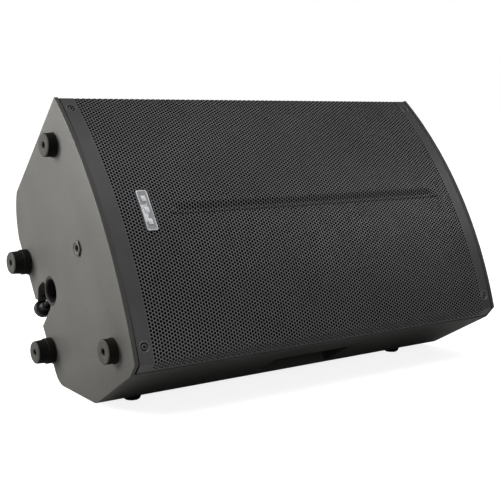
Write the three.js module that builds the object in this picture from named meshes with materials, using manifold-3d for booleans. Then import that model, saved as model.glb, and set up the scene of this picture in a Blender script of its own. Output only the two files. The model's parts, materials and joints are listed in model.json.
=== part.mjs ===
// Moulded two-way loudspeaker cabinet lying on its side as a floor wedge.
//
// Every piece is drawn in the cabinet's own axes, in millimetres:
//   x  along the cabinet, from the bottom end (feet, pole socket) to the top end
//   y  across the front, called w below
//   z  out of the front, called n below, zero where the curved grille starts to rise
// The whole cabinet is then rolled about x until its slanted side lies flat on the floor.

import * as THREE from 'three';
import { mergeVertices } from 'three/addons/utils/BufferGeometryUtils.js';
import Module from 'manifold-3d';

const wasm = await Module();
wasm.setup();

// ---------------------------------------------------------------- driving dimensions

const ROLL = THREE.MathUtils.degToRad(58.1);   // front tilted back from upright to wedge position
const GAP = 0.3;                               // between pieces that touch

const HALF_LENGTH = 353;                       // middle to an end face, at n = 0
const END_LEAN = 0.062;                        // an end face leans in this much per mm of depth
const WALL = 5;                                // side and rear walls
const END_WALL = 8;                            // end walls, which also frame the grille
const HALF_WIDTH = 208.5;                      // of the front, either side of the crown line
const CROWN_W = 5.5;                           // line along which the curved front is highest
const SIDE_TAPER = 0.135;                      // the upper side leans in this much per mm of depth
const REAR = -268;                             // flat of the back, near the ends
const HUMP_REAR = -349;                        // back of the electronics hump
const HUMP_FLOOR = -334;                       // inner face of the hump's thick rear rim
const RIM_RISE = 34;                           // crown of the end rims
const RIM_CORNER = 3;                          // n of the end rims' outer corners
const SEAM = -17;                              // where the grille flange meets the side wall
const SKIRT = { w: -210.5, n: -20 };           // the lower side is widest here
const KNEE = { w: -203.5, n: -152 };           // edge between the lower side and the slanted side

const GRILLE_RISE = 30;
const GRILLE_FOLD = 208;                       // from the crown line to where the flanges start
const GRILLE_SHEET = 1.6;
const GRILLE_HALF_LENGTH = 344.4;
const GRILLE_RADIUS = (GRILLE_FOLD ** 2 + GRILLE_RISE ** 2) / (2 * GRILLE_RISE);
const GRILLE_SCREW = { x: 334, side: 186.5, headRadius: 4.6 };
const BADGE = { x: -281, w: 8, halfLength: 8.5, halfWidth: 31.5 };

const BAFFLE = { front: -22, rear: -34 };
const WOOFER = { x: -142, cutout: 177, flange: 191, coneEdge: 157 };
const HORN = { x: 213, halfLength: 96, halfWidth: 112 };
const PORT = { x: 215, w: 160, bore: 27, wall: 3, inner: -100 };

const POLE = { w: -4, n: -200, bore: 18, wall: 4.5, depth: 92 };
const LOCK = { x: -327, studRadius: 4, knobRadius: 14, top: -265, bottom: -276 };

const SIDE_HANDLE = { halfLength: 76, front: -66, rear: -142, depth: 46 };
const TOP_HANDLE = { halfWidth: 62, front: -70, rear: -142, depth: 40 };
const CUP_WALL = 3;

const SHORT_FEET = { upper: 163, lower: -162, n: -47 };
const TALL_FEET = { upper: 74, lower: -79, n: -258 };
const FOOT_TIP_X = -366;                       // all four end feet stand on this plane
const FOOT_RADIUS = 17.5;
const FOOT_BASE_RADIUS = 20;
const PADS = { x: [-274, 255], n: [-168, -238], height: 8, radius: 14 };
const INSERT = { n: -64, flangeRadius: 13, bore: 4.4, wall: 3.5, length: 34 };

const PANEL = { halfLength: 150, halfWidth: 62, face: -333.7, thickness: 3 };

// ---------------------------------------------------------------- materials

function look(color, roughness, metalness = 0) {
  return new THREE.MeshStandardMaterial({ color, roughness, metalness });
}
const LOOKS = {
  housing: () => look(0x3b3b38, 0.75),
  rubber: () => look(0x161615, 0.9),
  grille: () => look(0x45464a, 0.55, 0.4),
  badge: () => look(0x9b9ca0, 0.4, 0.6),
  foam: () => look(0x0c0c0d, 1),
  steel: () => look(0x2a2a2c, 0.45, 0.8),
  bright: () => look(0xa8aaad, 0.35, 0.9),
  board: () => look(0x23452e, 0.6),
  plastic: () => look(0x19191a, 0.5),
  paper: () => look(0x202022, 0.9),
  magnet: () => look(0x4a4a4d, 0.4, 0.7),
  wadding: () => look(0xb9b6a8, 1),
  lens: () => look(0x2f8f4a, 0.2),
};

// ---------------------------------------------------------------- solids

// Turns a closed geometry into a solid: one shared vertex per corner, faces pointing out.
function solid(geometry) {
  const bare = geometry.index ? geometry.toNonIndexed() : geometry.clone();
  bare.deleteAttribute('normal');
  bare.deleteAttribute('uv');
  const merged = mergeVertices(bare, 1e-3);
  const points = merged.attributes.position.array;
  const corners = merged.index.array;
  const triangles = [];
  let volume = 0;
  const [a, b, c] = [new THREE.Vector3(), new THREE.Vector3(), new THREE.Vector3()];
  for (let i = 0; i < corners.length; i += 3) {
    const [p, q, r] = [corners[i], corners[i + 1], corners[i + 2]];
    if (p === q || q === r || r === p) continue;
    triangles.push(p, q, r);
    volume += a.fromArray(points, 3 * p).dot(b.fromArray(points, 3 * q).cross(c.fromArray(points, 3 * r)));
  }
  if (volume < 0) triangles.reverse();
  return new wasm.Manifold(new wasm.Mesh({
    numProp: 3,
    vertProperties: Float32Array.from(points),
    triVerts: Uint32Array.from(triangles),
  }));
}

function geometryOf(manifold) {
  const { vertProperties, triVerts } = manifold.getMesh();
  const geometry = new THREE.BufferGeometry();
  geometry.setAttribute('position', new THREE.BufferAttribute(vertProperties, 3));
  geometry.setIndex(new THREE.BufferAttribute(triVerts, 1));
  geometry.computeVertexNormals();
  return geometry;
}

function block(x0, x1, w0, w1, n0, n1) {
  const geometry = new THREE.BoxGeometry(x1 - x0, w1 - w0, n1 - n0);
  geometry.translate((x0 + x1) / 2, (w0 + w1) / 2, (n0 + n1) / 2);
  return solid(geometry);
}

// A shape drawn in (w, n), pushed along x.
function alongX(shape, x0, x1, curveSegments = 6) {
  const geometry = new THREE.ExtrudeGeometry(shape, { depth: x1 - x0, bevelEnabled: false, curveSegments });
  geometry.translate(0, 0, x0);
  geometry.applyMatrix4(new THREE.Matrix4().makeBasis(
    new THREE.Vector3(0, 1, 0),
    new THREE.Vector3(0, 0, 1),
    new THREE.Vector3(1, 0, 0),
  ));
  return solid(geometry);
}

// A shape drawn in (x, n), pushed along w.
function alongW(shape, w0, w1) {
  const geometry = new THREE.ExtrudeGeometry(shape, { depth: w1 - w0, bevelEnabled: false });
  geometry.rotateX(Math.PI / 2);
  geometry.translate(0, w1, 0);
  return solid(geometry);
}

// A profile of [radius, distance along the axis] turned about x or n.
function turned(profile, axis, segments = 24) {
  const geometry = new THREE.LatheGeometry(profile.map(([r, d]) => new THREE.Vector2(r, d)), segments);
  if (axis === 'x') geometry.rotateZ(-Math.PI / 2);
  if (axis === 'n') geometry.rotateX(Math.PI / 2);
  return solid(geometry);
}

const ring = (inner, outer, from, to, axis, segments) => turned(
  [[inner, from], [outer, from], [outer, to], [inner, to], [inner, from]], axis, segments);

const rod = (radius, from, to, axis, segments) => turned(
  [[0, from], [radius, from], [radius, to], [0, to]], axis, segments);

function polygon(points) {
  return new THREE.Shape(points.map(([u, v]) => new THREE.Vector2(u, v)));
}

// ---------------------------------------------------------------- housing

// The side walls taper in towards the back; the lower one first flares out to the skirt line.
const UPPER_CORNER = CROWN_W + HALF_WIDTH;
const LOWER_CORNER = CROWN_W - HALF_WIDTH;
const upperSide = (n) => UPPER_CORNER - (RIM_CORNER - n) * SIDE_TAPER;
function lowerSide(n) {
  if (n > SKIRT.n) return THREE.MathUtils.mapLinear(n, RIM_CORNER, SKIRT.n, LOWER_CORNER, SKIRT.w);
  return THREE.MathUtils.mapLinear(n, SKIRT.n, KNEE.n, SKIRT.w, KNEE.w);
}
const slantedSide = (n) => KNEE.w + (KNEE.n - n) / Math.tan(ROLL);
const endFace = (n) => HALF_LENGTH + END_LEAN * n;
const grilleArc = (w) => GRILLE_RISE - GRILLE_RADIUS + Math.sqrt(GRILLE_RADIUS ** 2 - (w - CROWN_W) ** 2);

// Outline of the housing across its length, moved in by inset; its front is the rim's crown.
function housingOutline(inset, front) {
  const rear = REAR + inset;
  const shape = new THREE.Shape();
  shape.moveTo(upperSide(front) - inset, front);
  shape.lineTo(upperSide(-225) - inset, -225);
  shape.quadraticCurveTo(164 - inset, rear + 13, 120, rear);
  shape.lineTo(-112, rear);
  shape.quadraticCurveTo(slantedSide(rear) + inset - 2, rear, slantedSide(-247) + inset, -247);
  shape.lineTo(KNEE.w + inset, KNEE.n + inset / 2);
  shape.lineTo(SKIRT.w + inset, SKIRT.n);
  shape.lineTo(lowerSide(front) + inset, front);
  return shape;
}

function housingBlock() {
  const shape = housingOutline(0, RIM_CORNER);
  const radius = (HALF_WIDTH ** 2 + (RIM_RISE - RIM_CORNER) ** 2) / (2 * (RIM_RISE - RIM_CORNER));
  const spread = Math.asin(HALF_WIDTH / radius);
  shape.absarc(CROWN_W, RIM_RISE - radius, radius, Math.PI / 2 + spread, Math.PI / 2 - spread, true);
  return alongX(shape, -400, 400, 10);
}

// Everything between the two leaning end planes, half apart at n = 0.
function betweenEnds(half) {
  const at = (n) => half + END_LEAN * n;
  return alongW(polygon([[-at(60), 60], [at(60), 60], [at(-400), -400], [-at(-400), -400]]), -260, 260);
}

// The electronics hump on the back, which tapers towards its rear on all four sides.
function hump(inset, rear) {
  const across = alongX(polygon([
    [112 - inset, REAR + 8 + inset],
    [78 - inset, rear],
    [slantedSide(rear) + 4 + inset, rear],
    [slantedSide(REAR + 8) + 4 + inset, REAR + 8 + inset],
  ]), -260, 260);
  const along = alongW(polygon([
    [-240 + inset, REAR + 8 + inset],
    [240 - inset, REAR + 8 + inset],
    [192 - inset, rear],
    [-192 + inset, rear],
  ]), -200, 200);
  return across.intersect(along);
}

// The scoop in the back behind the pole socket, where the lock knob sits.
const scoopOutline = (grow) => polygon([
  [POLE.w - 22 - grow, -215],
  [POLE.w - 31 - grow, REAR - 20],
  [POLE.w + 31 + grow, REAR - 20],
  [POLE.w + 22 + grow, -215],
]);

function handleOpenings(grow) {
  const { halfLength, front, rear, depth } = SIDE_HANDLE;
  const opening = (w0, w1) => block(-halfLength - grow, halfLength + grow, w0, w1, rear - grow, front + grow);
  return { upper: opening(upperSide(front) - depth, 260), lower: opening(-260, lowerSide(front) + depth) };
}

function topHandleOpening(grow) {
  const { halfWidth, front, rear, depth } = TOP_HANDLE;
  return block(endFace(rear) - depth, 400, -halfWidth - grow, halfWidth + grow, rear - grow, front + grow);
}

const insertPlaces = () => [
  ['rigging_insert_bottom', -1, 2.6],
  ['rigging_insert_top_upper', 1, 120],
  ['rigging_insert_top_lower', 1, -120],
];

function rearShell() {
  const outer = housingBlock().add(hump(0, HUMP_REAR)).intersect(betweenEnds(HALF_LENGTH));
  const inner = alongX(housingOutline(WALL, RIM_CORNER), -400, 400)
    .add(block(-400, 400, lowerSide(0) + WALL, upperSide(0) - WALL, 0, 100))
    .intersect(betweenEnds(HALF_LENGTH - END_WALL))
    .add(hump(WALL, HUMP_FLOOR));
  let shell = outer.subtract(inner);

  // Bosses under the two tall feet, which hang over the rear edge.
  for (const w of [TALL_FEET.upper, TALL_FEET.lower]) {
    const boss = rod(FOOT_BASE_RADIUS + 1.5, -400, -300, 'x').translate([0, w, TALL_FEET.n]);
    shell = shell.add(boss.intersect(betweenEnds(HALF_LENGTH)));
  }

  // Walls of the scoop and the sleeve round the pole cup, then the scoop itself.
  const sleeve = rod(POLE.bore + POLE.wall + 4, -400, -280, 'x').translate([0, POLE.w, POLE.n]);
  const scoopWalls = alongX(scoopOutline(4), -400, -288).subtract(block(-400, -200, -100, 100, -400, REAR));
  shell = shell.add(sleeve.add(scoopWalls).intersect(betweenEnds(HALF_LENGTH)));
  shell = shell.subtract(alongX(scoopOutline(0), -400, -292));
  shell = shell.subtract(rod(POLE.bore + POLE.wall + GAP, -400, -200, 'x').translate([0, POLE.w, POLE.n]));

  // The grille fills the whole width between the end rims.
  const rimFace = HALF_LENGTH - END_WALL;
  shell = shell.subtract(block(-rimFace, rimFace, -260, 260, SEAM, 60));
  const handles = handleOpenings(GAP);
  shell = shell.subtract(handles.upper).subtract(handles.lower).subtract(topHandleOpening(GAP));
  shell = shell.subtract(block(
    -PANEL.halfLength, PANEL.halfLength, -PANEL.halfWidth, PANEL.halfWidth, HUMP_REAR - 10, HUMP_FLOOR + 10));
  for (const [, end, w] of insertPlaces()) {
    shell = shell.subtract(rod(INSERT.bore + INSERT.wall + GAP, -80, 80, 'x')
      .translate([end * HALF_LENGTH, w, INSERT.n]));
  }
  for (const [, , w, n] of footPlaces()) {
    shell = shell.subtract(rod(2.8, -400, -300, 'x', 12).translate([0, w, n]));
  }
  return shell;
}

// A finger cup let into the wall: a five-sided tray cut flush with the housing's skin.
function sideHandleCup(side) {
  const { halfLength, front, rear } = SIDE_HANDLE;
  const filled = handleOpenings(0)[side];
  const sign = side === 'upper' ? 1 : -1;
  const hollow = handleOpenings(-CUP_WALL)[side].translate([0, sign * CUP_WALL, 0]);
  const grip = block(-halfLength, halfLength, -260, 260, rear, front);
  return filled.subtract(hollow).intersect(housingBlock()).intersect(grip);
}

function topHandleCup() {
  const hollow = topHandleOpening(-CUP_WALL).translate([CUP_WALL, 0, 0]);
  return topHandleOpening(0).subtract(hollow).intersect(betweenEnds(HALF_LENGTH));
}

function frontBaffle() {
  const { front, rear } = BAFFLE;
  const half = HALF_LENGTH - END_WALL + END_LEAN * rear - GAP;
  const edge = WALL + GAP;
  let plate = alongX(polygon([
    [upperSide(front) - edge, front],
    [upperSide(rear) - edge, rear],
    [lowerSide(rear) + edge, rear],
    [lowerSide(front) + edge, front],
  ]), -half, half);
  plate = plate.subtract(rod(WOOFER.cutout, -60, 0, 'n', 36).translate([WOOFER.x, 0, 0]));
  plate = plate.subtract(block(
    HORN.x - HORN.halfLength - 6, HORN.x + HORN.halfLength + 6,
    -HORN.halfWidth - 6, HORN.halfWidth + 6, -60, 0));
  for (const side of [-1, 1]) {
    const portHole = rod(PORT.bore + PORT.wall + GAP, -60, 0, 'n');
    plate = plate.subtract(portHole.translate([PORT.x, side * PORT.w, 0]));
  }
  return plate;
}

// ---------------------------------------------------------------- grille

// Cross-section of a sheet that follows the grille's arc, below it by depth, and ends at edge.
function arcSheet(depth, thickness, edge) {
  const arcPoints = (sink) => {
    const steps = 16;
    return Array.from({ length: steps + 1 }, (_, i) => {
      const w = CROWN_W + edge * (1 - 2 * i / steps);
      return [w, grilleArc(w) - sink];
    });
  };
  return polygon([...arcPoints(depth), ...arcPoints(depth + thickness).reverse()]);
}

function grilleScrewPlaces() {
  const places = [];
  for (const end of [-1, 1]) {
    for (const side of [-1, 1]) places.push([end * GRILLE_SCREW.x, CROWN_W + side * GRILLE_SCREW.side]);
  }
  return places;
}

function cutScrewHoles(sheet, radius) {
  return grilleScrewPlaces().reduce(
    (rest, [x, w]) => rest.subtract(rod(radius, -40, 60, 'n', 12).translate([x, w, 0])), sheet);
}

// Flange from a long edge of the curved sheet back to the seam, flush with the side wall below.
function grilleFlange(fold, inward, sideWall) {
  const lap = fold + inward * 4;
  const edge = SEAM + GAP;
  return alongX(polygon([
    [lap, grilleArc(lap) - 0.1],
    [fold, grilleArc(fold)],
    [sideWall(-4), -4],
    [sideWall(edge), edge],
    [sideWall(edge) + inward * GRILLE_SHEET, edge],
    [sideWall(-5) + inward * GRILLE_SHEET, -5],
    [lap, grilleArc(lap) - GRILLE_SHEET],
  ]), -GRILLE_HALF_LENGTH, GRILLE_HALF_LENGTH);
}

// Curved sheet whose long edges fold back to the seam as flanges.
function grille() {
  const sheet = alongX(arcSheet(0, GRILLE_SHEET, GRILLE_FOLD), -GRILLE_HALF_LENGTH, GRILLE_HALF_LENGTH)
    .add(grilleFlange(CROWN_W + GRILLE_FOLD, -1, upperSide))
    .add(grilleFlange(CROWN_W - GRILLE_FOLD, 1, lowerSide));
  return cutScrewHoles(sheet, GRILLE_SCREW.headRadius + GAP);
}

function grilleFoam() {
  const sheet = alongX(arcSheet(GRILLE_SHEET + GAP, 4, 198), -338, 338);
  return cutScrewHoles(sheet, GRILLE_SCREW.headRadius + 2);
}

// Plain raised plate that stands on the grille, with a raised bar along its middle.
function badge() {
  const { x, w, halfLength, halfWidth } = BADGE;
  const top = grilleArc(w) + 2.4;
  const plate = block(x - halfLength, x + halfLength, w - halfWidth, w + halfWidth, 0, top)
    .subtract(alongX(arcSheet(0, 60, 60), x - 20, x + 20).translate([0, 0, GAP]));
  return plate.add(block(x - 1.6, x + 1.6, w - 24, w + 24, top - 0.4, top + 0.8));
}

// Socket-headed screw, head flush with the grille, shank down to the baffle.
function grilleScrew() {
  const { side, headRadius } = GRILLE_SCREW;
  const face = grilleArc(CROWN_W + side) - 1.6;
  return turned([
    [0, BAFFLE.front + GAP], [2, BAFFLE.front + GAP], [2, face - 4], [headRadius, face - 3],
    [headRadius, face], [2.2, face], [2.2, face - 2], [0, face - 2],
  ], 'n', 10);
}

// ---------------------------------------------------------------- feet and rigging

function footPlaces() {
  const places = [];
  for (const label of ['upper', 'lower']) {
    places.push([`foot_short_${label}`, 'short', SHORT_FEET[label], SHORT_FEET.n]);
    places.push([`foot_tall_${label}`, 'tall', TALL_FEET[label], TALL_FEET.n]);
  }
  return places;
}

// Rubber foot with its tip at x = 0, trimmed behind to the leaning end face.
function endFoot(kind, n) {
  const step = kind === 'tall' ? 17 : 10;
  const foot = turned([
    [2.8, 40], [FOOT_BASE_RADIUS, 40], [FOOT_BASE_RADIUS, step + 1.5], [FOOT_BASE_RADIUS - 1.5, step],
    [FOOT_RADIUS + 0.8, step], [FOOT_RADIUS, 1.2], [FOOT_RADIUS - 1.2, 0],
    [4.6, 0], [4.6, 7], [2.8, 7], [2.8, 40],
  ], 'x', 20);
  return foot.translate([FOOT_TIP_X, 0, n])
    .subtract(betweenEnds(HALF_LENGTH + GAP))
    .translate([-FOOT_TIP_X, 0, -n]);
}

function footScrew(n) {
  const inner = END_WALL - endFace(n) - FOOT_TIP_X;
  return turned([[0, 4], [4.2, 4], [4.2, 6.7], [2.3, 6.7], [2.3, inner], [0, inner]], 'x', 12);
}

// Pad under the slanted side; drawn with the floor at z = 0.
function monitorPad() {
  const { radius, height } = PADS;
  return turned([
    [0, 0], [radius - 4, 0], [radius - 2, 1.5], [radius, height - GAP], [0, height - GAP],
  ], 'n', 16);
}

// Threaded rigging insert: six-sided flange outside, round barrel through the end wall.
function riggingInsert() {
  const barrel = rod(INSERT.bore + INSERT.wall, -1, INSERT.length, 'x', 16);
  const flange = rod(INSERT.flangeRadius, -2.5, 0, 'x', 6);
  return barrel.add(flange).subtract(rod(INSERT.bore, -5, INSERT.length - 4, 'x', 16));
}

// ---------------------------------------------------------------- pole socket

function poleCup() {
  const { bore, wall, depth } = POLE;
  const cup = turned([
    [0, depth - 4], [bore, depth - 4], [bore, 1.5], [bore + 1.2, 0],
    [bore + wall, 0], [bore + wall, depth], [0, depth],
  ], 'x', 28);
  const mouth = -endFace(POLE.n);
  const tapped = rod(LOCK.studRadius + 0.5, -60, 0, 'n', 16).translate([LOCK.x - mouth, 0, 0]);
  return cup.subtract(tapped);
}

// The stud's tip presses on the pole; at rest it stands just inside the cup wall.
function lockStud() {
  const tip = -POLE.bore - 1;
  return rod(LOCK.studRadius, LOCK.top - 3 - POLE.n, tip, 'n', 16);
}

function lockKnob() {
  const { knobRadius, top, bottom } = LOCK;
  const knob = turned([
    [0, bottom], [knobRadius - 2, bottom], [knobRadius, bottom + 2], [knobRadius, top - 1.5],
    [knobRadius - 1.5, top], [LOCK.studRadius + GAP, top], [LOCK.studRadius + GAP, top - 4], [0, top - 4],
  ], 'n', 16);
  let grooved = knob;
  for (let i = 0; i < 8; i += 1) {
    const angle = i * Math.PI / 4;
    const flute = rod(2.2, bottom - 5, top + 5, 'n', 8);
    grooved = grooved.subtract(flute.translate([
      (knobRadius + 1) * Math.cos(angle), (knobRadius + 1) * Math.sin(angle), 0]));
  }
  return grooved;
}

// ---------------------------------------------------------------- woofer

const WOOFER_SHELF = BAFFLE.front + GAP;

function wooferBasket() {
  const { cutout, flange } = WOOFER;
  let cast = turned([
    [flange, WOOFER_SHELF], [flange, WOOFER_SHELF + 5], [cutout + 0.5, WOOFER_SHELF + 5],
    [cutout + 0.5, -19.5], [cutout - 9, -19.5], [cutout - 9, -30], [90, -106], [48, -106], [48, -112],
    [96, -112], [cutout - 1, -34], [cutout - 1, WOOFER_SHELF], [flange, WOOFER_SHELF],
  ], 'n', 36);
  for (let i = 0; i < 6; i += 1) {
    cast = cast.subtract(block(104, 150, -26, 26, -140, -40).rotate([0, 0, 60 * i + 30]));
  }
  return cast;
}

const wooferSurround = () => turned([
  [WOOFER.coneEdge + 0.6, -21], [WOOFER.cutout - 9.6, -21],
  [WOOFER.cutout - 9.6, -19.2], [WOOFER.cutout, -19.2],
  [WOOFER.cutout, -17.7], [171, -15.5], [166, -11.5], [160, -15], [WOOFER.coneEdge + 0.6, -18],
  [WOOFER.coneEdge + 0.6, -21],
], 'n', 36);

const wooferCone = () => turned([
  [40.8, -90], [44, -90], [WOOFER.coneEdge - 4, -22], [WOOFER.coneEdge, -22], [WOOFER.coneEdge, -19],
  [WOOFER.coneEdge - 5, -19], [42, -86], [40.8, -86], [40.8, -90],
], 'n', 36);

const dustCap = () => turned([
  [0, -58], [26, -62], [50, -75], [50.5, -78], [48.6, -78.4], [26, -65], [0, -61],
], 'n', 24);

const voiceCoil = () => ring(37.6, 40.2, -126, -88, 'n');

const spider = () => ring(41.2, 80, -101, -98.5, 'n');

const magnetAssembly = () => turned([
  [0, -112.4], [35.5, -112.4], [35.5, -140], [43, -140], [43, -112.4], [64, -112.4], [70, -120], [70, -148],
  [64, -155], [0, -155],
], 'n', 24);

// ---------------------------------------------------------------- horn and ports

// A round flare whose mouth is pulled out to a rounded rectangle.
function hornFlare() {
  const shelf = BAFFLE.front + GAP;
  const wall = 4;
  const profile = [
    [13, -118], [24, -118], [24, -112], [17, -110], [26, -90], [48, -62], [78, -40], [100, shelf],
    [112, shelf], [112, shelf + 4], [98, shelf + 4], [78 - wall, -36], [48 - wall, -57], [26 - wall, -86],
    [13, -104], [13, -118],
  ];
  const geometry = new THREE.LatheGeometry(profile.map(([r, d]) => new THREE.Vector2(r, d)), 28);
  geometry.rotateX(Math.PI / 2);
  const points = geometry.attributes.position;
  for (let i = 0; i < points.count; i += 1) {
    const [x, w, n] = [points.getX(i), points.getY(i), points.getZ(i)];
    const radius = Math.hypot(x, w);
    const open = THREE.MathUtils.smoothstep(radius, 24, 78);
    const square = Math.max(Math.abs(x), Math.abs(w)) / radius;
    const stretch = THREE.MathUtils.lerp(1, 1 / square, open * 0.8);
    const length = THREE.MathUtils.lerp(1, (HORN.halfLength - 6) / 100, open);
    const width = THREE.MathUtils.lerp(1, (HORN.halfWidth - 6) / 100, open);
    points.setXYZ(i, x * stretch * length, w * stretch * width, n);
  }
  return solid(geometry);
}

const compressionDriver = () => turned([
  [0, -160], [34, -160], [40, -154], [40, -134], [34, -128], [20, -126], [20, -118.4], [0, -118.4],
], 'n', 20);

const portTube = () => turned([
  [PORT.bore, PORT.inner], [PORT.bore + PORT.wall, PORT.inner], [PORT.bore + PORT.wall, BAFFLE.front + GAP],
  [PORT.bore + 5.5, BAFFLE.front + GAP], [PORT.bore + 5.5, BAFFLE.front + 4],
  [PORT.bore + 3, BAFFLE.front + 4],
  [PORT.bore, BAFFLE.front - 4], [PORT.bore, PORT.inner],
], 'n', 20);

// ---------------------------------------------------------------- electronics

const CONTROL_FACE = PANEL.face - GAP;
const SOCKETS = [
  ['input_socket_1', 12, 34],
  ['input_socket_2', 48, 34],
  ['link_socket', 84, 34],
];
const KNOBS = [
  ['level_knob_1', 12, -4],
  ['level_knob_2', 48, -4],
  ['main_level_knob', 84, -4],
];
const BUTTONS = [
  ['eq_button', 12, -38],
  ['mic_line_button', 48, -38],
];
const SOCKET = { barrel: 12.6, bore: 10.6, halfFlange: 14 };
const LENS = { x: 84, w: -38, radius: 2.6 };
const INLET = { x: 126, w: 28, halfLength: 12, halfWidth: 16 };
const ROCKER = {
  x: 126, w: -30, halfLength: 7, halfWidth: 10.5, pivot: 3, throw: THREE.MathUtils.degToRad(22),
};
const KNOB_SHAFT = 3;
const BUTTON_HALF = 4;

function ampPanel() {
  const { halfLength, halfWidth, face, thickness } = PANEL;
  let plate = block(-halfLength - 12, halfLength + 12, -halfWidth - 6, halfWidth + 6, face, face + thickness);
  const drill = (radius, x, w) => {
    plate = plate.subtract(rod(radius, face - 10, face + 10, 'n', 12).translate([x, w, 0]));
  };
  for (const [, x, w] of SOCKETS) drill(SOCKET.barrel + 0.6, x, w);
  for (const [, x, w] of KNOBS) drill(KNOB_SHAFT + 0.8, x, w);
  drill(LENS.radius + GAP, LENS.x, LENS.w);
  const cutOut = (x, w, halfX, halfW) => {
    plate = plate.subtract(block(x - halfX, x + halfX, w - halfW, w + halfW, face - 10, face + 10));
  };
  for (const [, x, w] of BUTTONS) cutOut(x, w, BUTTON_HALF + 0.4, BUTTON_HALF + 0.4);
  cutOut(INLET.x, INLET.w, INLET.halfLength + GAP, INLET.halfWidth + GAP);
  cutOut(ROCKER.x, ROCKER.w, ROCKER.halfLength + 2.3, ROCKER.halfWidth + 2.3);
  return plate;
}

// Comb of cooling fins on a base plate.
function heatSink() {
  const fins = 12;
  const pitch = 10;
  const base = CONTROL_FACE - 4;
  const tip = HUMP_REAR + 3;
  const outline = [[-146, CONTROL_FACE]];
  for (let i = 0; i < fins; i += 1) {
    const x = -145 + i * pitch;
    outline.push([x, base], [x + 0.4, tip], [x + 2.2, tip], [x + 2.6, base]);
  }
  outline.push([-30, base], [-30, CONTROL_FACE]);
  return alongW(polygon(outline), -56, 56);
}

// Round chassis socket with a square flange and a blind hole for the plug.
function signalSocket() {
  const { barrel, bore, halfFlange } = SOCKET;
  return block(-halfFlange, halfFlange, -halfFlange - 2, halfFlange + 2, CONTROL_FACE - 3, CONTROL_FACE)
    .add(rod(barrel, CONTROL_FACE - 2, CONTROL_FACE + 28, 'n', 16))
    .subtract(rod(bore, CONTROL_FACE - 10, CONTROL_FACE + 20, 'n', 16));
}

// Mains inlet with three blades standing in its hollow.
function mainsInlet() {
  const { halfLength, halfWidth } = INLET;
  const centred = (halfX, halfW, n0, n1) => block(-halfX, halfX, -halfW, halfW, n0, n1);
  let inlet = centred(halfLength + 2, halfWidth + 8, CONTROL_FACE - 2.5, CONTROL_FACE)
    .add(centred(halfLength, halfWidth, CONTROL_FACE - 1, CONTROL_FACE + 24))
    .subtract(centred(halfLength - 2.5, halfWidth - 3, CONTROL_FACE - 20, CONTROL_FACE + 16));
  for (const [x, w] of [[4, -7], [0, 0], [4, 7]]) {
    inlet = inlet.add(block(x - 2, x + 2, w - 1, w + 1, CONTROL_FACE + 2, CONTROL_FACE + 17));
  }
  return inlet;
}

function levelKnob() {
  const cap = turned([
    [0, CONTROL_FACE - 12], [6.2, CONTROL_FACE - 12], [7, CONTROL_FACE - 11], [8, CONTROL_FACE - 1],
    [KNOB_SHAFT, CONTROL_FACE - 1], [KNOB_SHAFT, CONTROL_FACE + 8], [0, CONTROL_FACE + 8],
  ], 'n', 16);
  return cap.subtract(block(-0.6, 0.6, 2, 9, CONTROL_FACE - 20, CONTROL_FACE - 11));
}

const pushButton = () => block(
  -BUTTON_HALF, BUTTON_HALF, -BUTTON_HALF, BUTTON_HALF, CONTROL_FACE - 5, CONTROL_FACE + 6);

function rockerFrame() {
  const { halfLength, halfWidth } = ROCKER;
  const around = (grow, n0, n1) => block(
    -halfLength - grow, halfLength + grow, -halfWidth - grow, halfWidth + grow, n0, n1);
  return around(4, CONTROL_FACE - 2, CONTROL_FACE)
    .add(around(2, CONTROL_FACE - 1, CONTROL_FACE + 20))
    .subtract(around(GAP, CONTROL_FACE - 20, CONTROL_FACE + 17));
}

// Rocker drawn about its pivot, with a shallow V across its face.
function rocker() {
  const { halfLength, halfWidth } = ROCKER;
  const profile = polygon([[-9.6, -6], [0, -4.2], [9.6, -6], [8.4, 5], [-8.4, 5]]);
  return alongX(profile, -halfLength + 0.5, halfLength - 0.5).scale([1, (halfWidth - 0.9) / 9.6, 1]);
}

const statusLens = () => turned([
  [0, CONTROL_FACE - 2.2], [1.6, CONTROL_FACE - 1.8], [LENS.radius, CONTROL_FACE - 0.6],
  [LENS.radius, CONTROL_FACE + 5], [0, CONTROL_FACE + 5],
], 'n', 16);

const ampBoard = () => block(-144, -26, -52, 52, PANEL.face + 8, PANEL.face + 10);

const toroid = () => turned([
  [13, 0], [32, 0], [37, 5], [37, 25], [32, 30], [13, 30], [13, 0],
], 'n', 20);

const capacitor = () => rod(11, 0, 34, 'n', 16);

// ---------------------------------------------------------------- assembly

const cabinet = new THREE.Group();

function place(name, shape, material, x = 0, w = 0, n = 0) {
  const mesh = new THREE.Mesh(geometryOf(shape), material);
  mesh.name = name;
  mesh.position.set(x, w, n);
  cabinet.add(mesh);
  return mesh;
}

function addHousing() {
  place('rear_shell', rearShell(), LOOKS.housing());
  place('front_baffle', frontBaffle(), LOOKS.plastic());
  place('side_handle_cup_upper', sideHandleCup('upper'), LOOKS.housing());
  place('side_handle_cup_lower', sideHandleCup('lower'), LOOKS.housing());
  place('top_handle_cup', topHandleCup(), LOOKS.housing());
}

function addGrille() {
  place('grille', grille(), LOOKS.grille());
  place('grille_foam', grilleFoam(), LOOKS.foam());
  place('badge', badge(), LOOKS.badge());
  grilleScrewPlaces().forEach(([x, w], i) => {
    place(`grille_screw_${i + 1}`, grilleScrew(), LOOKS.steel(), x, w);
  });
}

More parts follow.
